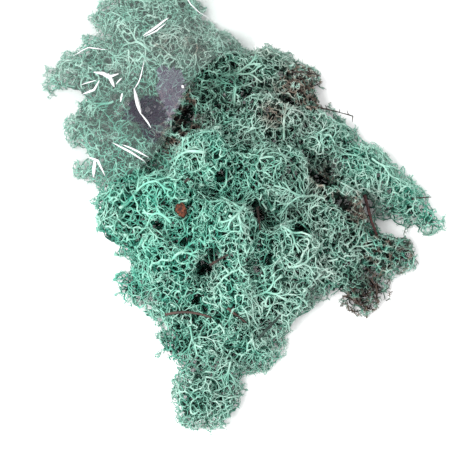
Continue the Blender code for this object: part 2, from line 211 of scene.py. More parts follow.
CREVICES = (  # middle x and y, half length, half width in mm, and turn in degrees
    (-15.5, -38.0, 4.0, 2.6, 40),
    (58.0, -9.0, 5.0, 3.5, -60),
    (-19.0, -52.0, 3.0, 1.8, 60),
    (-36.0, -20.0, 2.6, 1.8, 0),
    (-24.0, -27.0, 3.4, 1.8, 20),
    (3.0, 41.0, 4.0, 2.0, 30),
    (21.0, 38.0, 5.0, 2.2, -30),
    (-8.0, 2.0, 3.4, 2.0, 50),
    (12.0, -36.0, 3.0, 1.8, -30),
    (8.5, -13.5, 2.5, 5.0, 10),
    (27.5, -21.5, 3.5, 2.6, 0),
    (37.5, 1.5, 8.0, 3.0, -20),
    (-11.5, -33.0, 3.0, 2.4, 0),
    (46.0, -10.0, 5.0, 2.6, -40),
    (-41.0, 33.5, 8.0, 5.0, -30),
    (-22.5, 33.0, 3.0, 4.5, -20),
    (-49.9, 37.0, 3.0, 2.5, 0),
    (-57.0, 41.0, 2.2, 3.0, 0),
)
FRINGES = (  # low mounds of loose branches past the tufts: middle x and y, radius and height in mm
    (-86, 57, 6.5, 9),
    (-75, 64, 5.5, 10),
    (-68, 68.5, 6, 12),
    (-66.5, 81, 5.5, 14),
    (-58, 76, 5, 14),
    (-14, 76.5, 4, 9),
    (-3, 68.5, 4.5, 9),
    (13, 66.5, 4.5, 10),
    (20.5, 62.5, 4, 9),
    (34.5, 55.5, 3, 7),
    (77.5, 5.5, 5, 10),
    (92, -12, 4.5, 9),
    (87, -8, 4.5, 9),
    (63.5, -46.5, 5.5, 10),
    (57, -51, 4.5, 9),
    (66, -42, 3, 8),
    (57, -48, 9, 17),
    (-33.5, -76, 4, 9),
    (-35.5, -70.5, 3, 9),
    (-51.5, -50, 4.5, 8),
    (-55.5, -45.5, 4, 8),
    (57, 21.5, 3, 9),
    (-46, -54, 4, 8),
    (81, 15, 3, 7),
)
NOTCHES = (  # bays cut into the outline: as the crevices
    (-79.5, 44.3, 9, 4, 0),
    (-77.5, 39, 3, 3, 0),
    (-72.5, 17, 5, 3, -60),
    (-68.5, -13.6, 9, 4.2, 90),
    (-62, -26, 8, 5, -45),
    (-53, -34, 6, 3, -20),
    (38.3, 45.0, 7, 2.4, -70),
    (43.5, 33, 5, 2.5, -45),
    (69, -18, 6.5, 3.8, -20),
    (29, -61.5, 7, 3.6, 45),
    (44.5, -48, 2.8, 2.8, 0),
    (20.5, -80, 5, 3, 30),
    (8.5, -87, 7, 3, 10),
    (-1, -106, 7, 4.5, 45),
    (-22, -111.5, 9, 2.6, 0),
    (3.5, -96, 2.4, 4, 0),
)


def unit(rows):
    return rows / (np.linalg.norm(rows, axis=1)[:, None] + 1e-12)


def hull_planes(node):
    """Outward normals and offsets of the faces of a node's convex hull."""
    bm = merged_copy(node)
    hull = bmesh.ops.convex_hull(bm, input=bm.verts)
    faces = [item for item in hull["geom"] if isinstance(item, bmesh.types.BMFace)]
    middle = sum((vert.co for vert in bm.verts), Vector()) / len(bm.verts)
    centres = np.array([face.calc_center_median() for face in faces])
    normals = np.array([face.normal for face in faces])
    normals *= np.sign(((centres - middle) * normals).sum(1))[:, None]
    bm.free()
    return normals, (normals * centres).sum(1)


HULLS = {name: hull_planes(name) for name in TUFTS}
BOXES = {name: np.array(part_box(name)) for name in TUFTS}
MAP_LOW = np.array(CAD_BOX[0])[:2] - EDGE
MAP_SHAPE = np.ceil((np.array(CAD_BOX[1])[:2] + EDGE - MAP_LOW) / CELL).astype(int) + 1


def hull_top(name, flat):
    """The height of a tuft's hull over each flat place, or 0 beside it."""
    normals, offsets = HULLS[name]
    rises = offsets - flat @ normals[:, :2].T
    up, down = normals[:, 2] > 1e-3, normals[:, 2] < -1e-3
    top = (rises[:, up] / normals[up, 2]).min(axis=1)
    bottom = (rises[:, down] / normals[down, 2]).max(axis=1)
    inside = (top > bottom) & (rises[:, ~up & ~down] > 0).all(axis=1)
    return np.where(inside, top, 0)


def rounded(heights, width):
    """A height map blurred over a width."""
    steps = np.arange(-int(3 * width / CELL), int(3 * width / CELL) + 1)
    weights = np.exp(-0.5 * (steps * CELL / width) ** 2)
    weights /= weights.sum()
    for _axis in range(2):
        heights = np.array([np.convolve(row, weights, "same") for row in heights]).T
    return heights


def map_places():
    xs, ys = (MAP_LOW[k] + CELL * np.arange(MAP_SHAPE[k]) for k in range(2))
    return np.stack([*np.meshgrid(xs, ys, indexing="ij"), np.zeros(MAP_SHAPE)], axis=2).reshape(-1, 3)


def heap_heights():
    flat = map_places()[:, :2]
    heights = np.zeros(len(flat))
    for name in TUFTS:
        low, high = BOXES[name][:, :2]
        over = ((flat > low) & (flat < high)).all(axis=1)
        heights[over] = np.maximum(heights[over], hull_top(name, flat[over]))
    for x, y, radius, height in FRINGES:
        aside = ((flat / MM - [x, y]) ** 2).sum(axis=1) / radius**2
        heights = np.maximum(heights, height * MM * np.sqrt(np.maximum(1 - aside, 0)))
    return heights.reshape(MAP_SHAPE)


HEAP = heap_heights()
SURFACE = rounded(HEAP, ROUNDING)
CANOPY = rounded(HEAP, CANOPY_ROUNDING)
SLOPE = np.sqrt(sum(grade**2 for grade in np.gradient(SURFACE, CELL)))


def read_map(heights, places):
    """A height map's value at each place."""
    at = np.clip((places[:, :2] - MAP_LOW) / CELL, 0, MAP_SHAPE - 1.001)
    cell = at.astype(int)
    u, v = (at - cell).T
    i, j = cell.T
    near = heights[i, j] * (1 - v) + heights[i, j + 1] * v
    far = heights[i + 1, j] * (1 - v) + heights[i + 1, j + 1] * v
    return near * (1 - u) + far * u


WAVE_COUNT = 9
WAVE_SWING = 3.2  # the sum of the waves at which their noise is cut off
WAVES_RNG = np.random.default_rng(5)
WAVES = unit(WAVES_RNG.normal(size=(WAVE_COUNT, 3))) * 2 * np.pi
WAVE_STARTS = WAVES_RNG.random(WAVE_COUNT) * 2 * np.pi


def lumps(places, width):
    """Smooth noise from 0 to 1, about one hill to each width."""
    waves = np.cos(places @ WAVES.T / width + WAVE_STARTS).sum(axis=1)
    return 0.5 + 0.5 * np.clip(waves / WAVE_SWING, -1, 1)


def dips(places):
    """How far the lichen stays under the surface: dips between small heads, and bumps on them."""
    heads = np.clip(HEAD_GAIN * lumps(places, HEAD_WIDTH) - HEAD_LOSS, 0, 1)
    deep = RELIEF * (1 - heads) + BUMPS * (1 - lumps(places[:, ::-1], BUMP_WIDTH))
    return deep * np.clip(read_map(SURFACE, places) / FULL_RELIEF, LEAST_RELIEF, 1)


def within(places, ellipses):
    """Which places lie over one of the ellipses, crevices or notches, whose edges are ragged."""
    found = np.zeros(len(places), bool)
    ragged = RAGGED_LEAST + RAGGED_SWING * lumps(places, RAGGED_WIDTH)
    for x, y, half_length, half_width, turn in ellipses:
        across = places[:, :2] - np.array([x, y]) * MM
        c, s = math.cos(math.radians(turn)), math.sin(math.radians(turn))
        along = (across @ [c, s]) / (half_length * MM)
        aside = (across @ [-s, c]) / (half_width * MM)
        found |= along**2 + aside**2 < ragged
    return found


# where forked stems can lie on the heap, 1, and where the table is bare or a crevice opens, 0
OPENED = within(map_places(), NOTCHES + CREVICES).reshape(MAP_SHAPE)
GROWN = ((SURFACE > STEM_GROUND) & ~OPENED).astype(float)


def depth(places):
    """How deep places lie under the lichen's surface."""
    steep = np.sqrt(1 + np.minimum(read_map(SLOPE, places), STEEPEST) ** 2)
    return (read_map(SURFACE, places) - dips(places) - places[:, 2]) / steep


def painted_shade_depth(places):
    """Painted shade from 0 to 1: darker the deeper places lie under their surface and under the canopy, and
    darker in crevices.
    """
    near = np.clip(depth(places) / NEAR_DEPTH, 0, 1)
    far = np.clip((read_map(CANOPY, places) - places[:, 2]) / CANOPY_DEPTH, 0, 1)
    return NEAR_SHADE * near + CANOPY_SHADE * far + CREVICE_SHADE * within(places, CREVICES)


def neighbour_tree(places):
    """The places, sorted so that what lies near a place is found quickly."""
    tree = kdtree.KDTree(len(places))
    for k, place in enumerate(places.tolist()):
        tree.insert(place, k)
    tree.balance()
    return tree


def spread(rng, places, apart):
    """Keeps random ones of the places, so that no two are nearer than this."""
    places = places[rng.permutation(len(places))]
    size = apart / math.sqrt(3)  # a cell this wide has room for no more than one
    keys = np.floor(places / size).astype(int)
    _keys, first = np.unique(keys, axis=0, return_index=True)
    places = places[np.sort(first)]
    tree = neighbour_tree(places)
    taken = np.ones(len(places), bool)
    for k, place in enumerate(places.tolist()):
        if taken[k]:
            for _place, other, _gap in tree.find_range(place, apart):
                if other != k:
                    taken[other] = False
    return places[taken]


LOWEST = 0.4 * MM  # of the places that fill gives
TRIES = 5  # random places for each that is kept, where they are spread evenly


def fill(rng, spacing, least, most, evenly):
    """Random places between two depths in the whole heap."""
    low = np.array([*MAP_LOW, LOWEST])
    size = np.array([*(MAP_SHAPE * CELL), CAD_BOX[1][2]])
    count = int(np.prod(size) / spacing**3 * (TRIES if evenly else 1))
    places = low + rng.random((count, 3)) * size
    places = places[places[:, 2] < read_map(SURFACE, places)]
    ends = THINNEST + LOBES * (lumps(places, LOBE_WIDTH) - LOBE_MIDDLE)
    places = places[read_map(SURFACE, places) > ends]
    deep = depth(places)
    wanted = (deep > least) & (deep < most)
    places, deep = places[wanted], deep[wanted]
    opened = within(places, CREVICES) & (deep < CREVICE_DEPTH)
    places = places[~opened & ~within(places, NOTCHES)]
    return spread(rng, places, spacing) if evenly else places


def nearest_tuft(places):
    """The number of the tuft that each place belongs to."""
    best = np.full(len(places), np.inf)
    owner = np.zeros(len(places), int)
    for number, name in enumerate(TUFTS):
        low, high = BOXES[name]
        near = np.nonzero(((places > low - EDGE) & (places < high + EDGE)).all(axis=1))[0]
        normals, offsets = HULLS[name]
        beyond = (places[near] @ normals.T - offsets).max(axis=1)
        closer = beyond < best[near]
        best[near[closer]] = beyond[closer]
        owner[near[closer]] = number
    return owner


# ---------------- how branches grow

STEP = 1.15 * MM  # from one point of a branch to the next
SIGHT = 7 * MM  # how far off a goal may lie that pulls a branch
WIDE_TURNS = 10  # the first turns, in which every goal does
MOST_TURNS = 300
LEAST_PULL = 0.05  # a weaker one grows no branch
WANDER = 0.24  # how far each step strays from its heading
TIP_RADIUS = 0.25 * MM
MOST_RADIUS = 0.68 * MM
PIPE_POWER = 2.8  # how slowly a branch thickens with what it carries
STRAIGHT = math.cos(math.radians(24))  # a smaller bend needs no point of its own
JOIN_FROM, JOIN_TO = 1.2 * MM, 3.0 * MM  # how far a tip reaches over to another branch
JOIN_AHEAD = 1.6  # the larger, the less it matters that this lies straight ahead
JOIN_BOW = 0.25
KIN_STEPS = 6  # how far back along its own branch a tip may not join


def grow(rng, goals, root, reach):
    """Grows branches from root towards the goals. Gives each point's place and its parent's number."""
    most = 4 * len(goals) + 500
    places = np.empty((most, 3))
    parents = np.full(most, -1)
    places[0], count = root, 1
    gap = np.linalg.norm(goals - root, axis=1)
    near = np.zeros(len(goals), int)
    live = np.arange(len(goals))
    for turn in range(MOST_TURNS):
        seen = live if turn < WIDE_TURNS else live[gap[live] < SIGHT]
        if not len(seen):
            break
        pull = goals[seen] - places[near[seen]]
        pull /= np.linalg.norm(pull, axis=1)[:, None] + 1e-9
        total = [np.bincount(near[seen], pull[:, k], minlength=count) for k in range(3)]
        total = np.stack(total, axis=1)
        strength = np.linalg.norm(total, axis=1)
        growing = np.nonzero(strength > LEAST_PULL)[0]
        if not len(growing):
            break
        heading = unit(total[growing])
        heading = unit(heading + rng.normal(0, WANDER, heading.shape))
        new = places[growing] + heading * STEP
        places[count : count + len(new)] = new
        parents[count : count + len(new)] = growing
        left = goals[live]
        apart = (left**2).sum(1)[:, None] + (new**2).sum(1)[None] - 2 * left @ new.T
        best = apart.argmin(1)
        apart = np.sqrt(np.maximum(apart[np.arange(len(left)), best], 0))
        closer = apart < gap[live]
        gap[live[closer]] = apart[closer]
        near[live[closer]] = count + best[closer]
        live = live[gap[live] > reach]
        count += len(new)
        if not len(live):
            break
    return places[:count], parents[:count]


def branch_radii(parents, tip_radius):
    """Each point's radius, by the pipe rule: a branch is as thick as what it carries."""
    count = len(parents)
    carried = np.zeros(count)
    for point in range(count - 1, -1, -1):
        if carried[point] == 0:
            carried[point] = 1
        if parents[point] >= 0:
            carried[parents[point]] += carried[point]
    return np.minimum(tip_radius * carried ** (1 / PIPE_POWER), MOST_RADIUS)


def main_children(parents, radii):
    """The thickest child of each point, which carries its branch on, or -1 at a tip."""
    main = np.full(len(parents), -1)
    order = np.argsort(radii, kind="stable")
    order = order[parents[order] >= 0]
    main[parents[order]] = order
    return main


def smooth(places, parents, main, rounds=2):
    """Evens out the branches' kinks."""
    inner = np.nonzero((parents >= 0) & (main >= 0))[0]
    for _round in range(rounds):
        places[inner] = 0.5 * places[inner] + 0.25 * (places[parents[inner]] + places[main[inner]])
    return places


def branch_levels(parents):
    """How many steps each point is from its root."""
    level = np.zeros(len(parents), int)
    for point in range(len(parents)):
        level[point] = 0 if parents[point] < 0 else level[parents[point]] + 1
    return level


def thin_out(places, parents, radii):
    """Leaves out every other point of the straight stretches."""
    count = len(places)
    children = np.bincount(parents[parents >= 0], minlength=count)
    main = main_children(parents, radii)
    single = (parents >= 0) & (children == 1)
    one = np.nonzero(single & (branch_levels(parents) % 2 == 1))[0]
    before = unit(places[one] - places[parents[one]])
    after = unit(places[main[one]] - places[one])
    gone = one[(before * after).sum(1) > STRAIGHT]
    parents[main[gone]] = parents[gone]
    kept = np.ones(count, bool)
    kept[gone] = False
    number = np.cumsum(kept) - 1
    parents = np.where(parents[kept] < 0, -1, number[parents[kept]])
    return places[kept], parents, radii[kept]


def close_loops(rng, places, parents, share):
    """Lets tips reach over to a branch beside them, which closes the net."""
    tree = neighbour_tree(places)
    tips = np.setdiff1d(np.arange(1, len(places)), parents)
    tips = tips[rng.random(len(tips)) < share]
    more, more_parents = [], []
    for tip in tips:
        kin, point = set(), tip
        for _step in range(KIN_STEPS):
            point = parents[point]
            if point < 0:
                break
            kin.add(int(point))
        heading = (places[tip] - places[parents[tip]]) / STEP
        found = []
        for place, k, apart in tree.find_range(places[tip], JOIN_TO):
            if apart > JOIN_FROM and k not in kin and parents[k] not in kin:
                way = (np.array(place) - places[tip]) / apart
                found.append((apart * (JOIN_AHEAD - way @ heading), k))
        if not found:
            continue
        goal = places[min(found)[1]]
        middle = (places[tip] + goal) / 2 + heading * JOIN_BOW * np.linalg.norm(goal - places[tip])
        more += [middle, goal]
        more_parents += [tip, len(places) + len(more) - 2]
    if not more:
        return places, parents
    return np.concatenate([places, more]), np.concatenate([parents, more_parents])


# ---------------- the net at the surface

NET_REACH = 1.75  # the longest strand, in spacings
NEARER = 0.97  # how much nearer to both ends a third node has to be, to do without their strand
STEM_STRANDS = 6
STEM_FADE = 0.6  # how much less bold a stem is at its end
STEM_BEND = 0.6  # cosine of the sharpest turn that it takes


def net_strands(nodes, spacing):
    """Pairs of nodes that are neighbours: no third node is nearer to both than they are to each other."""
    apart = np.sqrt(((nodes[:, None] - nodes[None]) ** 2).sum(axis=2))
    first, second = np.nonzero(np.triu(apart < NET_REACH * spacing, 1))
    nearer = np.maximum(apart[first], apart[second]) < NEARER * apart[first, second][:, None]
    kept = ~nearer.any(axis=1)
    return first[kept], second[kept]


def lay_stems(rng, nodes, first, second, share):
    """How bold each node is: stems run from strand to strand, as straight as the net lets them."""
    bold = np.zeros(len(nodes))
    beside = [[] for _node in nodes]
    for a, b in zip(first.tolist(), second.tolist()):
        beside[a].append(b)
        beside[b].append(a)
    for _stem in range(int(share * len(first) / STEM_STRANDS)):
        start = rng.integers(len(first))
        here, ahead = int(first[start]), int(second[start])
        for k in range(STEM_STRANDS):
            strength = 1 - STEM_FADE * k / STEM_STRANDS
            bold[here] = max(bold[here], strength)
            bold[ahead] = max(bold[ahead], strength)
            way = nodes[ahead] - nodes[here]
            best, after = STEM_BEND, None
            for other in beside[ahead]:
                turn = nodes[other] - nodes[ahead]
                straight = way @ turn / math.sqrt((way @ way) * (turn @ turn))
                if other != here and straight > best:
                    best, after = straight, other
            if after is None:
                break
            here, ahead = ahead, after
    return bold


# ---------------- branches as a mesh

END_WIDTH, WAIST_WIDTH = 1.1, 0.78  # of a strand, beside its radius
SPIKE_FACES = np.array([(0, 1, 3), (1, 2, 3), (2, 0, 3), (0, 2, 1)])
ROOT_AXIS = (0.3, 0.5, 0.8)  # any heading will do that no branch starts along
TABLE_CLEARANCE = 0.05 * MM
BAKE_EDGE = 0.02  # of the bake map, on each side


def sideways(rng, ways):
    """A random heading across each way."""
    return unit(np.cross(ways, rng.normal(size=ways.shape)))


def square_to(ways, vectors):
    """What points across each way in each vector, at length 1."""
    return unit(vectors - (vectors * ways).sum(1)[:, None] * ways)


def circles(first_axes, second_axes, sides):
    """Points on a circle of radius 1 for each pair of axes."""
    angles = (2 * np.pi * np.arange(sides) / sides)[None, :, None]
    return np.cos(angles) * first_axes[:, None] + np.sin(angles) * second_axes[:, None]


def walls(low, high, sides):
    """Quads from the rings whose points start at low to those whose points start at high."""
    k = np.arange(sides)
    after = (k + 1) % sides
    return np.stack([low + k, low + after, high + after, high + k], axis=2).reshape(-1, 4)


def strands(rng, starts, ends, start_radii, end_radii, sides, sag):
    """Closed tubes from starts to ends, waisted in the middle and a little bowed: points and faces."""
    way = ends - starts
    length = np.linalg.norm(way, axis=1)[:, None]
    along = way / length
    across = sideways(rng, along)
    ring = circles(across, np.cross(along, across), sides)
    rows = []
    for share, bow, width in ((0, 0, END_WIDTH), (0.5, sag, WAIST_WIDTH), (1, 0, END_WIDTH)):
        middle = starts + share * way + bow * length * across
        radius = width * ((1 - share) * start_radii + share * end_radii)
        rows.append(middle[:, None] + radius[:, None, None] * ring)
    points = np.stack(rows, axis=1).reshape(-1, 3)
    base = (np.arange(len(starts)) * 3 * sides)[:, None]
    quads = [walls(base + low, base + low + sides, sides) for low in (0, sides)]
    k = np.arange(sides)
    caps = np.concatenate([base + k[::-1], base + 2 * sides + k])
    return points, [np.concatenate(quads), caps]


def spikes(rng, starts, headings, lengths, radii):
    """Pointed three-sided twigs: points and faces."""
    across = sideways(rng, headings)
    ring = circles(across, np.cross(headings, across), 3)
    ring = starts[:, None] + radii[:, None, None] * ring
    tips = (starts + headings * lengths[:, None])[:, None]
    points = np.concatenate([ring, tips], axis=1).reshape(-1, 3)
    return points, [(np.arange(len(starts)) * 4)[:, None, None] + SPIKE_FACES[None]]


def tubes(places, parents, radii, sides):
    """Closed tubes along the branches, each branch one tube that starts inside its parent.

    Gives the tubes' points, their faces, and the number of the branch point each of them comes from.
    """
    count = len(places)
    main = main_children(parents, radii)
    everyone = np.arange(count)
    ahead = np.where(main >= 0, main, everyone)
    behind = np.where(parents >= 0, parents, everyone)
    along = unit(places[ahead] - places[behind])
    bases = np.nonzero(parents < 0)[0]
    start = np.nonzero((parents >= 0) & (main[behind] != everyone))[0]
    tips = np.nonzero(main < 0)[0]
    level = branch_levels(parents)
    across = np.zeros((count, 3))
    across[bases] = unit(np.cross(along[bases], [ROOT_AXIS]))
    for step in range(1, level.max() + 1):
        here = np.nonzero(level == step)[0]
        across[here] = square_to(along[here], across[parents[here]])
    start_along = unit(places[start] - places[parents[start]])
    start_across = square_to(start_along, across[start])
    middles = np.concatenate([places, places[parents[start]]])
    normals = np.concatenate([along, start_along])
    first_axes = np.concatenate([across, start_across])
    widths = np.concatenate([radii, radii[start]])[:, None, None]
    rings = middles[:, None] + widths * circles(first_axes, np.cross(normals, first_axes), sides)
    ends = places[tips] + along[tips] * radii[tips][:, None]
    points = np.concatenate([rings.reshape(-1, 3), ends])
    source = np.concatenate([np.repeat(np.concatenate([everyone, parents[start]]), sides), tips])
    low = behind * sides
    low[start] = (count + np.arange(len(start))) * sides
    inner = np.nonzero(parents >= 0)[0]
    quads = walls(low[inner][:, None], inner[:, None] * sides, sides)
    k = np.arange(sides)
    apex = (len(rings) * sides + np.arange(len(tips)))[:, None]
    last = tips[:, None] * sides
    points_to = [last + k, last + (k + 1) % sides, np.repeat(apex, sides, 1)]
    points_to = np.stack(points_to, axis=2).reshape(-1, 3)
    caps = np.concatenate([bases, count + np.arange(len(start))])[:, None] * sides + k[::-1]
    return points, [quads, points_to, caps], source


class BranchMesh:
    """Gathers tubes, with the painted shade (the depth attribute) and the tone of each of their points, into
    one mesh.
    """

    def __init__(self):
        self.points, self.corners, self.sizes, self.shades, self.count = [], [], [], [], 0

    def add(self, points, faces, shade):
        for rows in faces:
            rows = rows.reshape(-1, rows.shape[-1])
            self.corners.append((rows + self.count).ravel())
            self.sizes.append(np.full(len(rows), rows.shape[1]))
        self.points.append(points)
        self.shades.append(shade)
        self.count += len(points)

    def build(self, name):
        points, shades = np.concatenate(self.points), np.concatenate(self.shades)
        points[:, 2] = np.maximum(points[:, 2], TABLE_CLEARANCE)
        corners, sizes = np.concatenate(self.corners), np.concatenate(self.sizes)
        mesh = bpy.data.meshes.new(name)
        mesh.vertices.add(len(points))
        mesh.vertices.foreach_set("co", points.astype(np.float32).ravel())
        mesh.loops.add(len(corners))
        mesh.loops.foreach_set("vertex_index", corners.astype(np.int32))
        mesh.polygons.add(len(sizes))
        mesh.polygons.foreach_set("loop_start", (np.cumsum(sizes) - sizes).astype(np.int32))
        mesh.update(calc_edges=True)
        mesh.shade_smooth()
        bake_map = mesh.uv_layers.new(name="OFBake")
        on_map = BAKE_EDGE + (1 - 2 * BAKE_EDGE) * shades[corners]
        bake_map.uv.foreach_set("vector", on_map.astype(np.float32).ravel())
        # the depth attribute holds the painted shade, and the tone how strongly the dye took
        for key, column in zip(("depth", "tone"), shades.T):
            values = np.ascontiguousarray(column, np.float32)
            mesh.attributes.new(key, "FLOAT", "POINT").data.foreach_set("value", values)
        return mesh


# ---------------- lichen finishes

PAINTED_SHADE_STOPS = (0.0, 0.16, 0.50, 0.92)  # of the painted shade, which grows with depth
UNDYED_PAINTED_SHADES = ("9C9488", "7A6D61", "41332D", "1A1210")  # painted shade: from the lit lichen at its surface to the shaded lichen in its depth
WEAKLY_DYED_PAINTED_SHADES = ("B6C7BE", "A1BBB0", "688E7E", "1A392F")
WELL_DYED_PAINTED_SHADES = ("A2CFBF", "7EBFAB", "45A08A", "0C4034")
WEAK_TONE = 0.3  # the tone of weakly dyed lichen: undyed is 0, and well dyed is 1
MIX_SHARE, MIX_FIRST, MIX_SECOND, MIX_RESULT = 0, 6, 7, 2  # the sockets of a mix of colours


def painted_shade_ramp(tree, fed, colours):
    """Painted shade: a ramp from the lit colour of what lies at the lichen's surface to the dark colour of
    what lies deep in it.
    """
    ramp = add_node(tree, "ShaderNodeValToRGB", [("Fac", fed)])
    elements = ramp.color_ramp.elements
    elements.remove(elements[1])
    elements[0].position, elements[0].color = PAINTED_SHADE_STOPS[0], linear(colours[0])
    for stop, colour in zip(PAINTED_SHADE_STOPS[1:], colours[1:]):
        elements.new(stop).color = linear(colour)
    return ramp.outputs["Color"]


def lichen_material(name):
    """Matt dried lichen with painted shade: pale stems and tips, painted darker below them and nearly black
    in its depth.

    Its tone says how strongly the dye took.
    """
    made, tree, shader = material(name, {"Roughness": 0.75, "Specular IOR Level": 0.3})
    painted_shade_fed = add_node(tree, "ShaderNodeAttribute", attribute_name="depth").outputs["Fac"]
    tone_fed = add_node(tree, "ShaderNodeAttribute", attribute_name="tone").outputs["Fac"]
    colour = painted_shade_ramp(tree, painted_shade_fed, UNDYED_PAINTED_SHADES)
    for low, high, colours in ((0, WEAK_TONE, WEAKLY_DYED_PAINTED_SHADES), (WEAK_TONE, 1, WELL_DYED_PAINTED_SHADES)):
        span = {"From Min": low, "From Max": high}
        share = add_node(tree, "ShaderNodeMapRange", [("Value", tone_fed)], **span)
        mixed = add_node(tree, "ShaderNodeMix", data_type="RGBA")
        tree.links.new(share.outputs["Result"], mixed.inputs[MIX_SHARE])
        tree.links.new(colour, mixed.inputs[MIX_FIRST])
        tree.links.new(painted_shade_ramp(tree, painted_shade_fed, colours), mixed.inputs[MIX_SECOND])
        colour = mixed.outputs[MIX_RESULT]
    tree.links.new(colour, shader.inputs["Base Color"])
    return made


# dried reindeer lichen, dyed sea green: the dye took unevenly; painted shade darkens it with depth, and
# painted highlights keep stems palest
DYED = lichen_material("dyed_reindeer_lichen")
# the same lichen where it took little dye and kept its own brown
DUSKY = lichen_material("half_dyed_reindeer_lichen")


# ---------------- the tufts

DYE_PATCHES = (  # middle x and y and reach in mm, and how strongly the dye took
    (-22, -16, 20, 1.3),
    (-12, 3, 10, 1.1),
    (-8, -45, 9, 1.0),
    (70, 8, 14, 1.5),
    (-49, -7, 20, 0.85),
    (59, 9, 20, 0.8),
    (-15, -59, 22, 0.6),
    (-15, -95, 16, 0.45),
    (23, 21, 28, 0.05),
    (23, -18, 22, 0.35),
    (16, 49, 18, 0.05),
    (-50, 50, 30, 0.45),
    (60, -35, 20, 0.2),
)
BROWN_PATCHES = (  # middle x and y and reach in mm, and how much of the lichen there is undyed
    (18, 32, 7, 0.35),
    (38, 3, 6, 0.8),
    (46, -9, 7, 0.6),
    (56, -12, 8, 0.9),
    (28, 46, 6, 0.8),
    (8.5, -13.5, 3, 0.7),
    (-13, -38, 4, 0.6),
    (-22.5, 31, 6, 0.35),
    (-34, 20, 5, 0.3),
    # painted shade: this one makes the shadowed hollow under the taut film brown-dark, rather than marking
    # undyed lichen
    (-43, 34, 5, 0.7),
    (-34, 62, 6, 0.5),
    (-22, 66, 7, 0.5),
    (62, -40, 8, 0.5),
    (77, -26, 7, 0.8),
)
PAINTED_SHADE_PATCHES = (  # painted shade and light: middle x and y and reach in mm, and how much darker the lichen is painted than by its depth, or lighter where negative
    (-10, 46, 6, 0.32),
    (2, 47, 12, 0.14),
    (22, 36, 12, -0.13),
    (-56, 31, 9, 0.32),
    (-43, 34, 6, 0.35),
    (17, 10, 9, 0.16),
    (54, -20, 6, 0.18),
    (77, -26, 7, 0.25),
    (-23, 32, 5, 0.2),
    (11, -20, 5, 0.12),
    (57, -48, 8, 0.35),
    (-32, -75, 5, 0.4),
    (-50, -43, 6, 0.15),
    (-33, -8, 5, 0.2),
    (66, 8, 11, -0.24),
    (77, 2, 7, -0.1),
    (38, -36, 9, -0.16),
    (0, -31, 6, -0.16),
    (-10, -42, 7, -0.14),
    (-10, -56, 9, -0.18),
    (14, -64, 8, -0.2),
    (-6, -88, 11, -0.04),
    (-18, -2, 11, -0.14),
    (-43, -20, 6, -0.12),
    (-32, -42, 7, -0.16),
)
FINE_PATCHES = (  # middle x and y and reach in mm, and how much finer and fuzzier the branches are
    (68, 4, 14, 1.0),
    (12, 36, 18, 0.8),
    (-62, 32, 14, 0.8),
    (30, 12, 12, 0.5),
    (68, -30, 10, 0.6),
    (57, -48, 9, 0.8),
    (-60, 60, 16, 0.4),
    (-8, -89, 13, 0.7),
)
ANTLERS = (  # where bold forked stems start: x and y, heading in degrees, first stretch, radius, in mm
    (-15, 11, 188, 8, 0.75),
    (-2, 36, 90, 8, 0.6),
    (-8, 51, 3, 8, 0.65),
    (-53, -12, 35, 11, 0.75),
    (-8, -6, -35, 6, 0.7),
    (2, -12, 245, 6, 0.7),
    (-29, -36, 60, 6, 0.65),
    (18, -20, -42, 7, 0.65),
    (20, 19, 85, 9, 0.6),
    (-22, -64, -75, 6, 0.55),
    (6, -52, 30, 7, 0.6),
    (60, 12, -38, 7, 0.5),
    (-57, 38, 200, 6, 0.6),
    (-40, 60, 150, 8, 0.6),
    (33, -6, 200, 7, 0.65),
    (-30, -20, 130, 7, 0.65),
    (24, -40, 20, 5, 0.55),
    (-4, -80, -100, 5, 0.5),
)
DUSKY_TUFTS = {  # how much of each is green all the same
    "tuft_dusky_rim": 0.55,
    "tuft_stray": 0.35,
    "tuft_right_lobe": 0.85,
    "tuft_bag_pit": 0.6,
}
DUSKY_WIDTH = 5 * MM
DUSKY_CONTRAST = 3
DYE_WIDTH = 14 * MM
DYE_SWING = 0.25  # of the tone, over this width
BROWN_WIDTH = 3 * MM
BROWN_SHARE, DUSKY_BROWN_SHARE = 0.8, 0.3  # how much dye the brown patches take away
LEAST_SHADE = 0.14  # the painted shade of what lies at the surface
PATCH_WIDTH = 4 * MM
PATCH_SWING = 0.2  # of the shade, over this width
PALEST = 0.04  # the least painted shade that shows

OUTER_SPACING, OUTER_DEPTH = 1.75 * MM, 6 * MM  # of what the branches reach for near the surface
UNDER_SPACING, UNDER_DEPTH = 2.4 * MM, 7 * MM  # and in the felted layer under it
UNDER_WIDER = 2  # how much thicker the branches there are
NO_LIMIT = 1  # m, deeper than any lichen lies
BASE_HEIGHT = 6 * MM  # the top of the felted layer
ROOT_HEIGHT = 0.15  # of a tuft's height
GOAL_REACH = 1.7 * MM  # where a branch has reached its goal
LOWEST_BRANCH = 0.9 * MM
JOINED_SHARE = 0.4  # of these branches' tips

NET_SPACING = 1.9 * MM
NET_RADIUS = 0.26 * MM
THICK_WIDTH = 9 * MM
THICK_LEAST, THICK_SWING = 0.6, 0.8  # how much the strands' radii vary, over this width
STEM_RADIUS = 0.30 * MM  # how much a bold stem adds to a strand's
STEM_PAINTED_HIGHLIGHT = 0.1  # painted highlight: how much paler it is painted
BOLD = 0.2  # what is bolder than this doesn't break
BROKEN_SHARE = 0.5  # of the strands, which end in the air with a forked tip
BROKEN_LENGTH = (0.6, 0.85)  # of their length, where they end
BROKEN_ASIDE = 0.3
BROKEN_RADIUS = 0.5
MOST_SAG = 0.24  # of a strand's length
FINE_RADIUS, FINE_STEM, FINE_SPIKES = 0.25, 0.6, 0.6  # what fine patches take from radii, and add to spikes
SPIKE_LENGTH = 1.3 * MM
SPIKE_RADIUS = 0.20 * MM
SPIKE_PAINTED_HIGHLIGHT = 0.05  # painted highlight: how much paler spikes are painted
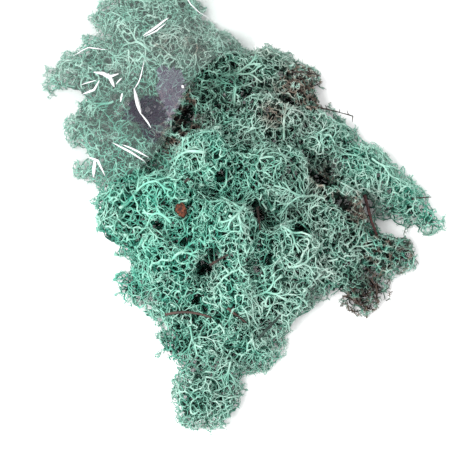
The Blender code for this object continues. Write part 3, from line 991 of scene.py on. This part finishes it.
SPIKE_LENGTHS, SPIKE_RADII = (0.6, 1.4), (0.8, 1.3)  # how much these vary
TWIG_LENGTHS = (0.6, 1.3)  # and the lengths of twigs and forked tips
SPIKE_LEAN = 0.5  # how far they lean along their strand
LOW_SURFACE, LOW_SPIKES = 9 * MM, 1.5  # where the surface is lower than this, they are this much longer
FORK_SPREAD = 1.1  # how far the smaller spike on each one leans aside
FORK_AT, FORK_LENGTH, FORK_RADIUS = 0.45, 0.6, 0.75  # its place, length and radius beside theirs
TIP_LENGTH = 0.9 * MM  # of the forked tips
TIP_SPREAD = 0.9
TIP_BACK = 0.1  # how far inside their strand they start
TIP_WIDTH = 1.1  # beside the end of their strand
DEEP_SPIKES = 0.25  # how much rarer spikes get with each millimetre of depth
TWIG_DEPTH = 3 * MM  # the deepest place where these branches have short twigs
TWIG_SHARE = 0.6
TWIG_LEAN = 0.6

ANTLER_FORKS = 4
ANTLER_SIDES, SMALL_SIDES = 5, 3
ANTLER_WANDER = 7  # degrees in each step
ANTLER_TURN = (18, 45)  # degrees between a fork and its stem
ANTLER_SHRINK = (0.5, 0.85)  # of a stretch, at each fork
ANTLER_THINNING = 0.8
ANTLER_SUNK, ANTLER_SWING = 0.1 * MM, 0.2 * MM  # how deep a stem lies, and how much this varies
ANTLER_SHARE = 1 / 32  # of the net's nodes, where a small one starts
SMALL_STRETCH, SMALL_RADIUS = (2.5, 5), (0.3, 0.45)  # of a small one, in mm


def weight_of(places, x, y, reach):
    """How much a patch counts at each place: 1 in its middle, and less and less away from it."""
    return np.exp(-((places[:, :2] / MM - [x, y]) ** 2).sum(axis=1) / (2 * reach**2))


def dye(places):
    """How strongly the dye took at each place, blended between the patches."""
    total, strong = 1e-6, 0
    for x, y, reach, strength in DYE_PATCHES:
        weight = weight_of(places, x, y, reach)
        total, strong = total + weight, strong + weight * strength
    return strong / total


def patched(places, patches, gather=np.maximum):
    """How strong a set of patches is at each place."""
    found = np.zeros(len(places))
    for x, y, reach, strength in patches:
        found = gather(found, strength * weight_of(places, x, y, reach))
    return found


def painted_shade_of(places, painted_highlight):
    """Painted shade from 0 to 1: how far from its pale lit surface towards its dark depth the lichen is
    painted, with painted shade and light patches and painted highlights.
    """
    patchy = lumps(places[:, ::-1], PATCH_WIDTH) - 0.5
    deep = LEAST_SHADE + (1 - LEAST_SHADE) * painted_shade_depth(places) - PATCH_SWING * patchy - painted_highlight
    return np.maximum(deep + patched(places, PAINTED_SHADE_PATCHES, np.add), PALEST)


def tone_of(name, places):
    """How strongly a tuft is dyed at each place."""
    if name in DUSKY_TUFTS:
        share = DUSKY_BROWN_SHARE
        tone = WEAK_TONE * (0.5 + DUSKY_CONTRAST * (DUSKY_TUFTS[name] - lumps(places, DUSKY_WIDTH)))
    else:
        share = BROWN_SHARE
        tone = WEAK_TONE + (1 - WEAK_TONE) * dye(places) + DYE_SWING * (lumps(places, DYE_WIDTH) - 0.5)
    return tone - share * patched(places, BROWN_PATCHES) * (0.4 + lumps(places, BROWN_WIDTH))


def deep_root(name):
    """A branch's start low in the middle of a tuft."""
    low, high = BOXES[name]
    place = (low + high) / 2
    place[2] = low[2] + ROOT_HEIGHT * (high[2] - low[2])
    return place


def branch_goals(rng):
    """What the branches reach for: the heap's outer layer, and the felted layer under it."""
    outer = fill(rng, OUTER_SPACING, 0, OUTER_DEPTH, False)
    under = fill(rng, UNDER_SPACING, UNDER_DEPTH, NO_LIMIT, False)
    return np.concatenate([outer, under[under[:, 2] < BASE_HEIGHT]])


HEAP_RNG = np.random.default_rng(11)
GOALS = branch_goals(HEAP_RNG)
GOAL_TUFTS = nearest_tuft(GOALS)
NETS = []
for spacing, least, most, sides, radius, stem_share, spike_share in (
    (NET_SPACING, 0, 2.2 * MM, 4, NET_RADIUS, 0.28, 1.4),
    (1.3 * NET_SPACING, 2.3 * MM, 5.5 * MM, 3, 1.25 * NET_RADIUS, 0.1, 0.6),
    (1.4 * NET_SPACING, 5.5 * MM, 11 * MM, 3, 0.85 * MM, 0, 0),
):
    nodes = fill(HEAP_RNG, spacing, least, most, True)
    NETS.append((nodes, nearest_tuft(nodes), spacing, sides, radius, stem_share, spike_share))
ANTLER_TUFTS = nearest_tuft(np.array([(x, y, 12) for x, y, *_growth in ANTLERS]) * MM)


def antler(rng, x, y, heading, stretch, radius):
    """A bold stem on the surface that forks again and again. Gives its points, parents and radii."""
    places, parents, radii = [], [], []
    ends = [(-1, x, y, heading, stretch, radius)]
    for _fork in range(ANTLER_FORKS):
        grown = []
        for last, x, y, heading, stretch, radius in ends:
            for _step in range(max(round(stretch * MM / STEP), 2)):
                places.append((x, y, 0))
                parents.append(last)
                radii.append(radius)
                last = len(places) - 1
                x += STEP / MM * math.cos(math.radians(heading))
                y += STEP / MM * math.sin(math.radians(heading))
                heading += rng.normal(0, ANTLER_WANDER)
                if read_map(GROWN, np.array([[x, y, 0]]) * MM)[0] < 0.5:
                    break
            else:
                for side in (-1, 1):
                    turn = side * rng.uniform(*ANTLER_TURN)
                    shorter = stretch * rng.uniform(*ANTLER_SHRINK)
                    grown.append((last, x, y, heading + turn, shorter, ANTLER_THINNING * radius))
        ends = grown
    places, parents, radii = np.array(places) * MM, np.array(parents), np.array(radii) * MM
    places[:, 2] = read_map(SURFACE, places)
    places[:, 2] -= dips(places) + rng.normal(ANTLER_SUNK, ANTLER_SWING, len(places))
    return smooth(places, parents, main_children(parents, radii)), parents, radii


def side_twigs(rng, places, parents):
    """Where short twigs leave the branches that lie near the air: points, places and headings."""
    near = (parents >= 0) & (depth(places) < TWIG_DEPTH)
    able = np.nonzero(near & (rng.random(len(places)) < TWIG_SHARE))[0]
    along = unit(places[able] - places[parents[able]])
    return able, places[able], unit(sideways(rng, along) + TWIG_LEAN * along)


class Tuft(BranchMesh):
    """The branches of one tuft, with their own random draws."""

    def __init__(self, name, number):
        super().__init__()
        self.name, self.number = name, number
        self.rng = np.random.default_rng(1000 + number)

    def shade(self, places, painted_highlight=0.0):
        """The painted shade, kept in the depth attribute, and the tone that each place shows."""
        return np.clip(np.stack([painted_shade_of(places, painted_highlight), tone_of(self.name, places)], axis=1), 0, 1)

    def add_spikes(self, starts, headings, lengths, radii):
        points, faces = spikes(self.rng, starts, headings, lengths, radii)
        self.add(points, faces, self.shade(points, SPIKE_PAINTED_HIGHLIGHT))

    def add_tubes(self, places, parents, radii, sides):
        points, faces, source = tubes(places, parents, radii, sides)
        self.add(points, faces, self.shade(places)[source])

    def add_undergrowth(self):
        """The branches that grow from the middle of the tuft, with short twigs near its surface."""
        goals = GOALS[GOAL_TUFTS == self.number]
        places, parents = grow(self.rng, goals, deep_root(self.name), GOAL_REACH)
        radii = branch_radii(parents, TIP_RADIUS)
        places = smooth(places, parents, main_children(parents, radii))
        places, parents = close_loops(self.rng, places, parents, JOINED_SHARE)
        radii = branch_radii(parents, TIP_RADIUS)
        radii = np.where(depth(places) > UNDER_DEPTH, UNDER_WIDER * radii, radii)
        places[:, 2] = np.maximum(places[:, 2], LOWEST_BRANCH)
        places, parents, radii = thin_out(places, parents, radii)
        self.add_tubes(places, parents, radii, 3)
        able, heads, headings = side_twigs(self.rng, places, parents)
        lengths = SPIKE_LENGTH * self.rng.uniform(*TWIG_LENGTHS, len(able))
        self.add_spikes(heads, headings, lengths, 0.8 * radii[able])

    def add_net(self, nodes, owners, spacing, sides, radius, stem_share, spike_share):
        """Strands between neighbouring nodes: some run on as bold stems, many of the others are broken."""
        rng = self.rng
        own = nodes[owners == self.number]
        margin = NET_REACH * spacing
        here = ((nodes > own.min(axis=0) - margin) & (nodes < own.max(axis=0) + margin)).all(axis=1)
        nodes, owners = nodes[here], owners[here]
        first, second = net_strands(nodes, spacing)
        own = owners[first] == self.number
        first, second = first[own], second[own]
        bold = lay_stems(rng, nodes, first, second, stem_share)
        fine = patched(nodes, FINE_PATCHES)
        radii = radius * (THICK_LEAST + THICK_SWING * lumps(nodes[:, [1, 2, 0]], THICK_WIDTH))
        radii = radii * (1 - FINE_RADIUS * fine) + STEM_RADIUS * bold * (1 - FINE_STEM * fine)
        boldness = np.minimum(bold[first], bold[second])
        count = len(first)
        turned = rng.random(count) < 0.5
        first, second = np.where(turned, second, first), np.where(turned, first, second)
        broken = (rng.random(count) < BROKEN_SHARE) & (boldness < BOLD)
        starts, ends = nodes[first], nodes[second].copy()
        way = ends - starts
        aside = sideways(rng, way) * np.linalg.norm(way, axis=1)[:, None]
        short = starts + rng.uniform(*BROKEN_LENGTH, (count, 1)) * way + BROKEN_ASIDE * aside
        ends[broken] = short[broken]
        end_radii = np.where(broken, BROKEN_RADIUS * radii[first], radii[second])
        sags = rng.uniform(0.0, MOST_SAG, (count, 1))
        points, faces = strands(rng, starts, ends, radii[first], end_radii, sides, sags)
        self.add(points, faces, self.shade(points, STEM_PAINTED_HIGHLIGHT * np.repeat(boldness, 3 * sides)))
        if broken.any():
            self.add_forked_tips(ends[broken], way[broken], end_radii[broken])
        free = 1 / (1 + DEEP_SPIKES * np.maximum(depth(nodes[first]) / MM, 0))
        likely = spike_share * free * (1 + FINE_SPIKES * fine[first])
        able = np.repeat(np.nonzero(rng.random(count) < likely)[0], 2)
        if len(able):
            self.add_forked_spikes(starts[able], ends[able])

    def add_forked_tips(self, ends, way, radii):
        """Two spikes at the end of each broken strand."""
        tips = ends - TIP_BACK * way
        for _fork in range(2):
            headings = unit(unit(way) + TIP_SPREAD * unit(self.rng.normal(size=tips.shape)))
            lengths = self.rng.uniform(*TWIG_LENGTHS, len(tips)) * TIP_LENGTH
            self.add_spikes(tips, headings, lengths, TIP_WIDTH * radii)

    def add_forked_spikes(self, starts, ends):
        """A spike beside each strand, with a smaller one on it."""
        rng = self.rng
        along = unit(ends - starts)
        roots = starts + (ends - starts) * rng.uniform(0.2, 0.8, len(starts))[:, None]
        headings = unit(sideways(rng, along) + SPIKE_LEAN * along)
        lengths = SPIKE_LENGTH * rng.uniform(*SPIKE_LENGTHS, len(starts))
        lengths *= np.where(read_map(SURFACE, roots) < LOW_SURFACE, LOW_SPIKES, 1)
        radii = SPIKE_RADIUS * rng.uniform(*SPIKE_RADII, len(starts))
        self.add_spikes(roots, headings, lengths, radii)
        forks = unit(headings + FORK_SPREAD * unit(rng.normal(size=headings.shape)))
        roots = roots + headings * lengths[:, None] * FORK_AT
        self.add_spikes(roots, forks, FORK_LENGTH * lengths, FORK_RADIUS * radii)

    def add_antlers(self):
        """The bold forked stems that start on this tuft, and small ones at random nodes of the net."""
        nodes, owners = NETS[0][:2]
        heads = nodes[owners == self.number] / MM
        stems = [ANTLERS[k] + (ANTLER_SIDES,) for k in np.nonzero(ANTLER_TUFTS == self.number)[0]]
        for x, y, _z in heads[self.rng.random(len(heads)) < ANTLER_SHARE]:
            heading = self.rng.uniform(0, 360)
            stretch, radius = self.rng.uniform(*SMALL_STRETCH), self.rng.uniform(*SMALL_RADIUS)
            stems.append((x, y, heading, stretch, radius, SMALL_SIDES))
        for *facts, sides in stems:
            self.add_tubes(*antler(self.rng, *facts), sides)


def make_tuft(name, number, finish):
    tuft = Tuft(name, number)
    tuft.add_undergrowth()
    for net in NETS:
        if (net[1] == number).any():
            tuft.add_net(*net)
    tuft.add_antlers()
    mesh = tuft.build("branches_" + name)
    mesh.materials.append(finish)
    add_piece("branches_" + name, mesh, name)


# ---------------- the film

CRUMPLE = 1.5 * MM  # height of the film's folds
FOLD_WIDTH = 11 * MM
FINE_FOLDS = 0.4  # the width of the fine folds, in wide ones
FINE_SHARE = 0.25  # of the height
FINE_SHIFT = Vector((7, 3, 0))  # keeps them apart from the wide ones
FLAT_FILM = 3.2 * MM  # below this the film lies on the table
SLACK_HEIGHT = 8 * MM  # and this much above it, it is crumpled in full
UPPER_FILM = 8 * MM  # the bag's upper wall lies higher than this
CREASE_RISE = 0.3 * MM
CREASE_FLATNESS = 0.3  # how thick a crease is beside its width
CREASE_PIECES = 6  # between two places of its course
CREASE_END, CREASE_TAPER = 0.08, 0.7  # how wide its ends are, and how slowly it narrows to them
FILM_IOR = 1.5
GLINT_CREASES = (  # white creases, stress-whitened folds with painted glints: half width, then the x and y of its course, all in mm
    (0.75, (-43.2, 65.8), (-38.0, 70.4), (-32.0, 75.2)),
    (0.45, (-42.8, 65.2), (-37.1, 68.9), (-33.1, 72.3)),
    (1.0, (-66.2, 51.6), (-61.5, 50.6), (-58.9, 48.9), (-54.6, 50.2)),
    (0.9, (-59.4, 50.6), (-57.8, 47.1), (-56.3, 43.6)),
    (0.6, (-71.3, 41.2), (-65.7, 43.0), (-63.3, 47.4)),
    (0.3, (-72.0, 45.7), (-68.3, 46.9), (-64.6, 47.6)),
    (0.45, (-55.7, 44.8), (-54.2, 46.9), (-53.0, 48.2)),
    (0.5, (-53.3, 36.0), (-52.9, 38.2), (-52.5, 40.2)),
    (0.35, (-42.7, 54.0), (-45.4, 44.9), (-46.9, 42.0)),
    (0.95, (-47.2, 42.2), (-45.4, 34.9), (-44.0, 30.4)),
    (0.45, (-44.4, 31.2), (-41.6, 28.1), (-39.6, 25.0)),
    (0.55, (-56.8, 17.9), (-48.4, 13.5), (-41.3, 9.3)),
    (0.5, (-52.4, 17.0), (-45.9, 14.3), (-40.6, 11.7)),
    (0.6, (-68.4, 12.8), (-63.8, 10.6), (-60.6, 4.4)),
    (1.0, (-65.0, 11.8), (-65.6, 7.6), (-66.2, 4.4)),
    (0.7, (-25.9, 44.6), (-24.9, 43.5)),
    (0.3, (-76.0, 60.0), (-69.0, 63.5), (-60.0, 62.0)),
    (0.3, (-52.0, 84.0), (-46.0, 92.0), (-36.0, 96.0)),
    (0.35, (-80.0, 73.0), (-72.0, 79.0), (-66.0, 90.0)),
    (0.3, (-14.0, 78.0), (-22.0, 84.0), (-30.0, 95.0)),
)
TENT = (  # corners in mm of the stretch that is pulled taut over a hollow
    (-37, 51.5),
    (-26, 51.0),
    (-24.2, 44),
    (-28, 34),
    (-34, 23),
    (-40, 17),
    (-46, 28),
    (-52, 29),
    (-48.5, 37),
    (-37, 39),
)
TENT_SLACK = 0.15  # how much of the crumpling is left there
TENT_FOLD = (-36, 40, -0.385)  # x and y in mm, and slope, of the fold between its two sides, which carry the painted lilac and dark reflections
CLEAR, LILAC_REFLECTION, CREASE_GLINT, DARK_REFLECTION = range(4)  # the numbers of the film's materials


def crumple(place):
    """How far the film stands above its smooth shape: sharp folds with slack between them."""
    wide = 1 - 2 * abs(noise.noise(place / FOLD_WIDTH))
    fine = 1 - 2 * abs(noise.noise(place / (FINE_FOLDS * FOLD_WIDTH) + FINE_SHIFT))
    return CRUMPLE * ((1 - FINE_SHARE) * wide + FINE_SHARE * fine)


def inside_outline(x, y, corners):
    inside = False
    for (ax, ay), (bx, by) in zip(corners, corners[1:] + corners[:1]):
        if (ay > y) != (by > y) and x < ax + (y - ay) * (bx - ax) / (by - ay):
            inside = not inside
    return inside


def film_material(name, colour, alpha, roughness):
    settings = {"Base Color": linear(colour), "Roughness": roughness, "IOR": FILM_IOR, "Alpha": alpha}
    return material(name, settings)[0]


def glint_crease_mesh():
    """The sharp pinched folds, as rods that taper to both ends: stress-whitened film with painted glints."""
    curve = bpy.data.curves.new("crease_glints", "CURVE")
    curve.dimensions = "3D"
    curve.bevel_depth, curve.bevel_resolution, curve.use_fill_caps = 1 * MM, 0, True
    for half_width, *course in GLINT_CREASES:
        course = [Vector((*place, 0)) * MM for place in course]
        steps = np.arange(CREASE_PIECES) / CREASE_PIECES
        route = [a.lerp(b, step) for a, b in zip(course, course[1:]) for step in steps] + [course[-1]]
        spline = curve.splines.new("POLY")
        spline.points.add(len(route) - 1)
        for k, (point, place) in enumerate(zip(spline.points, route)):
            point.co = (*place, 1)
            swell = max(math.sin(math.pi * k / (len(route) - 1)), CREASE_END)
            point.radius = half_width * swell**CREASE_TAPER
    rods = new_object("crease_glints", curve)
    made = bpy.data.meshes.new_from_object(rods)
    bpy.data.objects.remove(rods)
    return made


def finish_film():
    """The bag: clear film, crumpled where it is slack, taut over the hollow with painted lilac and dark
    reflections, with white sharp creases that carry painted glints.
    """
    bm = merged_copy("bag_film", 3)
    for vert in bm.verts:
        slack = min(max((vert.co.z - FLAT_FILM) / SLACK_HEIGHT, 0), 1)
        if inside_outline(vert.co.x / MM, vert.co.y / MM, TENT):
            slack *= TENT_SLACK
        vert.co.z += slack * crumple(Vector((vert.co.x, vert.co.y, 0)))
    for face in bm.faces:
        place = face.calc_center_median()
        taut = place.z > UPPER_FILM and inside_outline(place.x / MM, place.y / MM, TENT)
        mirrors_dark = place.x / MM < TENT_FOLD[0] + (place.y / MM - TENT_FOLD[1]) * TENT_FOLD[2]
        face.material_index = (DARK_REFLECTION if mirrors_dark else LILAC_REFLECTION) if taut else CLEAR
        face.smooth = True
    above = BVHTree.FromBMesh(bm)
    crease_glints = bmesh.new()
    crease_glints.from_mesh(glint_crease_mesh())
    for vert in crease_glints.verts:
        hit = above.ray_cast(Vector((vert.co.x, vert.co.y, 1)), Vector((0, 0, -1)))[0]
        vert.co.z = (hit.z if hit else FLAT_FILM) + CREASE_RISE + CREASE_FLATNESS * vert.co.z
    for face in crease_glints.faces:
        face.material_index = CREASE_GLINT
        face.smooth = True
    bmesh.ops.recalc_face_normals(crease_glints, faces=crease_glints.faces)
    rods = bpy.data.meshes.new("rods")
    crease_glints.to_mesh(rods)
    bm.from_mesh(rods)
    mesh = bpy.data.meshes.new("film_of_bag")
    bm.to_mesh(mesh)
    # thin clear polypropylene: a faint grey haze over what it covers, with a soft gloss
    mesh.materials.append(film_material("clear_polypropylene_film", "9FB6AE", 0.07, 0.12))
    # the same film pulled taut, with a painted reflection of the room: a smooth lilac grey
    mesh.materials.append(film_material("taut_film_painted_lilac_reflection", "7E7889", 0.26, 0.08))
    # film folded sharply several times over: it whitens, with painted glints on the folds
    mesh.materials.append(film_material("creased_film_painted_glint", "F4F4F6", 0.85, 0.2))
    # the taut film's other side, with a painted dark reflection
    mesh.materials.append(film_material("taut_film_painted_dark_reflection", "55505F", 0.2, 0.08))
    add_piece("film_of_bag", mesh, "bag_film")


# ---------------- twigs, needles and bark

TWIGS = {  # how rough and how thick beside the CAD rod, how many stubs, and how long they are in mm
    "twig_long": (0.16, 0.75, 9, 2.2),
    "twig_forked": (0.16, 0.75, 9, 2.6),
    "twig_arm": (0.12, 0.7, 4, 1.4),
    "stem_red": (0.15, 0.85, 4, 1.5),
    "stem_dark": (0.15, 0.8, 6, 1.6),
    "stem_short": (0.15, 0.8, 3, 1.5),
    "stem_upright": (0.15, 0.7, 4, 1.5),
    "needle_front": (0.06, 0.8, 0, 0),
    "needle_middle": (0.06, 0.8, 0, 0),
}
TWIG_RADIUS = 0.6 * MM
BARK_WIDTH = 1.3 * MM  # of the bumps on bark
STUB_SIZES = (0.28 * MM, 0.1 * MM)  # radii at the base and at the end
STUB_SUNK = 0.2 * MM
STUB_LENGTHS = (0.5, 1.3)  # how much they vary
STUB_LEAN = (0.3, 1.0)  # how far a stub leans along its twig
TWIG_END = 0.5  # no stubs where the twig's surface faces along it more than this,
UNDERSIDE = -0.3  # or down more than this
FLAKE_RAGGED, RAG_WIDTH = 0.6, 1.4 * MM
FLAKE_RIDGES, RIDGE_WIDTH = 0.35 * MM, 0.9 * MM
SETTLED = 35  # percent of a settled piece that lies among the branches


def bark_material(name, dark, light, grain, roughness=0.85):
    """Bark with darker and lighter streaks; grain is the width in mm of a streak."""
    made, tree, shader = material(name, {"Roughness": roughness})
    place = add_node(tree, "ShaderNodeTexCoord").outputs["Object"]
    streaks = add_node(tree, "ShaderNodeTexNoise", [("Vector", place)], Scale=1 / (grain * MM), Detail=3)
    ramp = add_node(tree, "ShaderNodeValToRGB", [("Fac", streaks.outputs["Fac"])])
    ramp.color_ramp.elements[0].position, ramp.color_ramp.elements[0].color = 0.38, linear(dark)
    ramp.color_ramp.elements[1].position, ramp.color_ramp.elements[1].color = 0.62, linear(light)
    tree.links.new(ramp.outputs["Color"], shader.inputs["Base Color"])
    return made


# dead twigs of heather and spruce: almost black bark with worn brown patches
TWIG_BARK = bark_material("dead_twig_bark", "1A1211", "3E2D27", 1.2)
# an old stem that soaked up the dye
DYED_BARK = bark_material("dyed_stem_bark", "14211E", "31443D", 1.2)
# a young stem whose bark is reddish
RED_BARK = bark_material("reddish_stem_bark", "220F0F", "451F1E", 1.2)
# dry fallen needles: dull brown, paler where they wore
NEEDLE = bark_material("dry_spruce_needle", "241512", "4A332B", 3.0, 0.6)
# thin scales of pine bark: orange brown, dark at the cracks
PINE_BARK = bark_material("pine_bark_scale", "2A130B", "703A22", 1.0)
# the same after a winter outside: dull grey brown
WORN_BARK = bark_material("weathered_bark_scale", "2A2321", "48403B", 1.0)
FLAKES = {"flake_bark": PINE_BARK, "flake_small": WORN_BARK}
TWIG_FINISH = {"stem_red": RED_BARK, "stem_dark": DYED_BARK, "needle_front": NEEDLE, "needle_middle": NEEDLE}


def settle(bm):
    """Lowers a piece until it lies on the branches, partly sunk among them."""
    places = np.array([vert.co for vert in bm.verts])
    places = places[read_map(SURFACE, places) > THINNEST]
    gaps = places[:, 2] - read_map(SURFACE, places) + dips(places)
    drop = max(np.percentile(gaps, SETTLED), 0)
    bmesh.ops.translate(bm, verts=bm.verts, vec=(0, 0, -drop))


def finish_piece(bm, piece_name, node, finish):
    settle(bm)
    mesh = bpy.data.meshes.new(piece_name)
    bm.to_mesh(mesh)
    mesh.shade_smooth()
    mesh.materials.append(finish)
    add_piece(piece_name, mesh, node)


def make_twig(name, rough, thick, stubs, stub_length):
    """A twig on its CAD rod: thinner, uneven, and with the stubs of broken side twigs."""
    rng = np.random.default_rng(len(name) + sum(map(ord, name)))
    bm = merged_copy(name, 1)
    bm.normal_update()
    shifts = []
    for vert in bm.verts:
        bump = rough * MM * noise.noise(vert.co / BARK_WIDTH)
        shifts.append(vert.normal * (bump - (1 - thick) * TWIG_RADIUS))
    for vert, shift in zip(bm.verts, shifts):
        vert.co += shift
    places = np.array([vert.co for vert in bm.verts])
    normals = np.array([vert.normal for vert in bm.verts])
    middle = places.mean(axis=0)
    along = np.linalg.svd(places - middle)[2][0]
    for _stub in range(stubs):
        k = rng.integers(len(places))
        if normals[k] @ along > TWIG_END or normals[k][2] < UNDERSIDE:
            continue
        heading = Vector(normals[k] + along * rng.uniform(*STUB_LEAN)).normalized()
        length = stub_length * rng.uniform(*STUB_LENGTHS) * MM
        base = Vector(places[k] - STUB_SUNK * normals[k])
        turn = heading.to_track_quat("Z", "Y").to_matrix().to_4x4()
        place = Matrix.Translation(base + heading * length / 2) @ turn
        wide, narrow = STUB_SIZES
        bmesh.ops.create_cone(
            bm, cap_ends=True, segments=5, radius1=wide, radius2=narrow, depth=length, matrix=place
        )
    finish_piece(bm, "bark_" + name, name, TWIG_FINISH.get(name, TWIG_BARK))


def make_flake(name, finish):
    """A scale of bark with a ragged edge and a ridged face."""
    bm = merged_copy(name, 2)
    bm.normal_update()
    middle = sum((vert.co for vert in bm.verts), Vector()) / len(bm.verts)
    for vert in bm.verts:
        out = (vert.co - middle) * Vector((1, 1, 0))
        vert.co += out * FLAKE_RAGGED * noise.noise(vert.co / RAG_WIDTH)
        vert.co.z += FLAKE_RIDGES * noise.noise(vert.co / RIDGE_WIDTH)
    finish_piece(bm, "scale_" + name, name, finish)


add_camera()
add_light()
add_floor()
for number, name in enumerate(TUFTS):
    dusky = name in DUSKY_TUFTS
    make_tuft(name, number, DUSKY if dusky else DYED)
finish_film()
for name, facts in TWIGS.items():
    make_twig(name, *facts)
for name, finish in FLAKES.items():
    make_flake(name, finish)
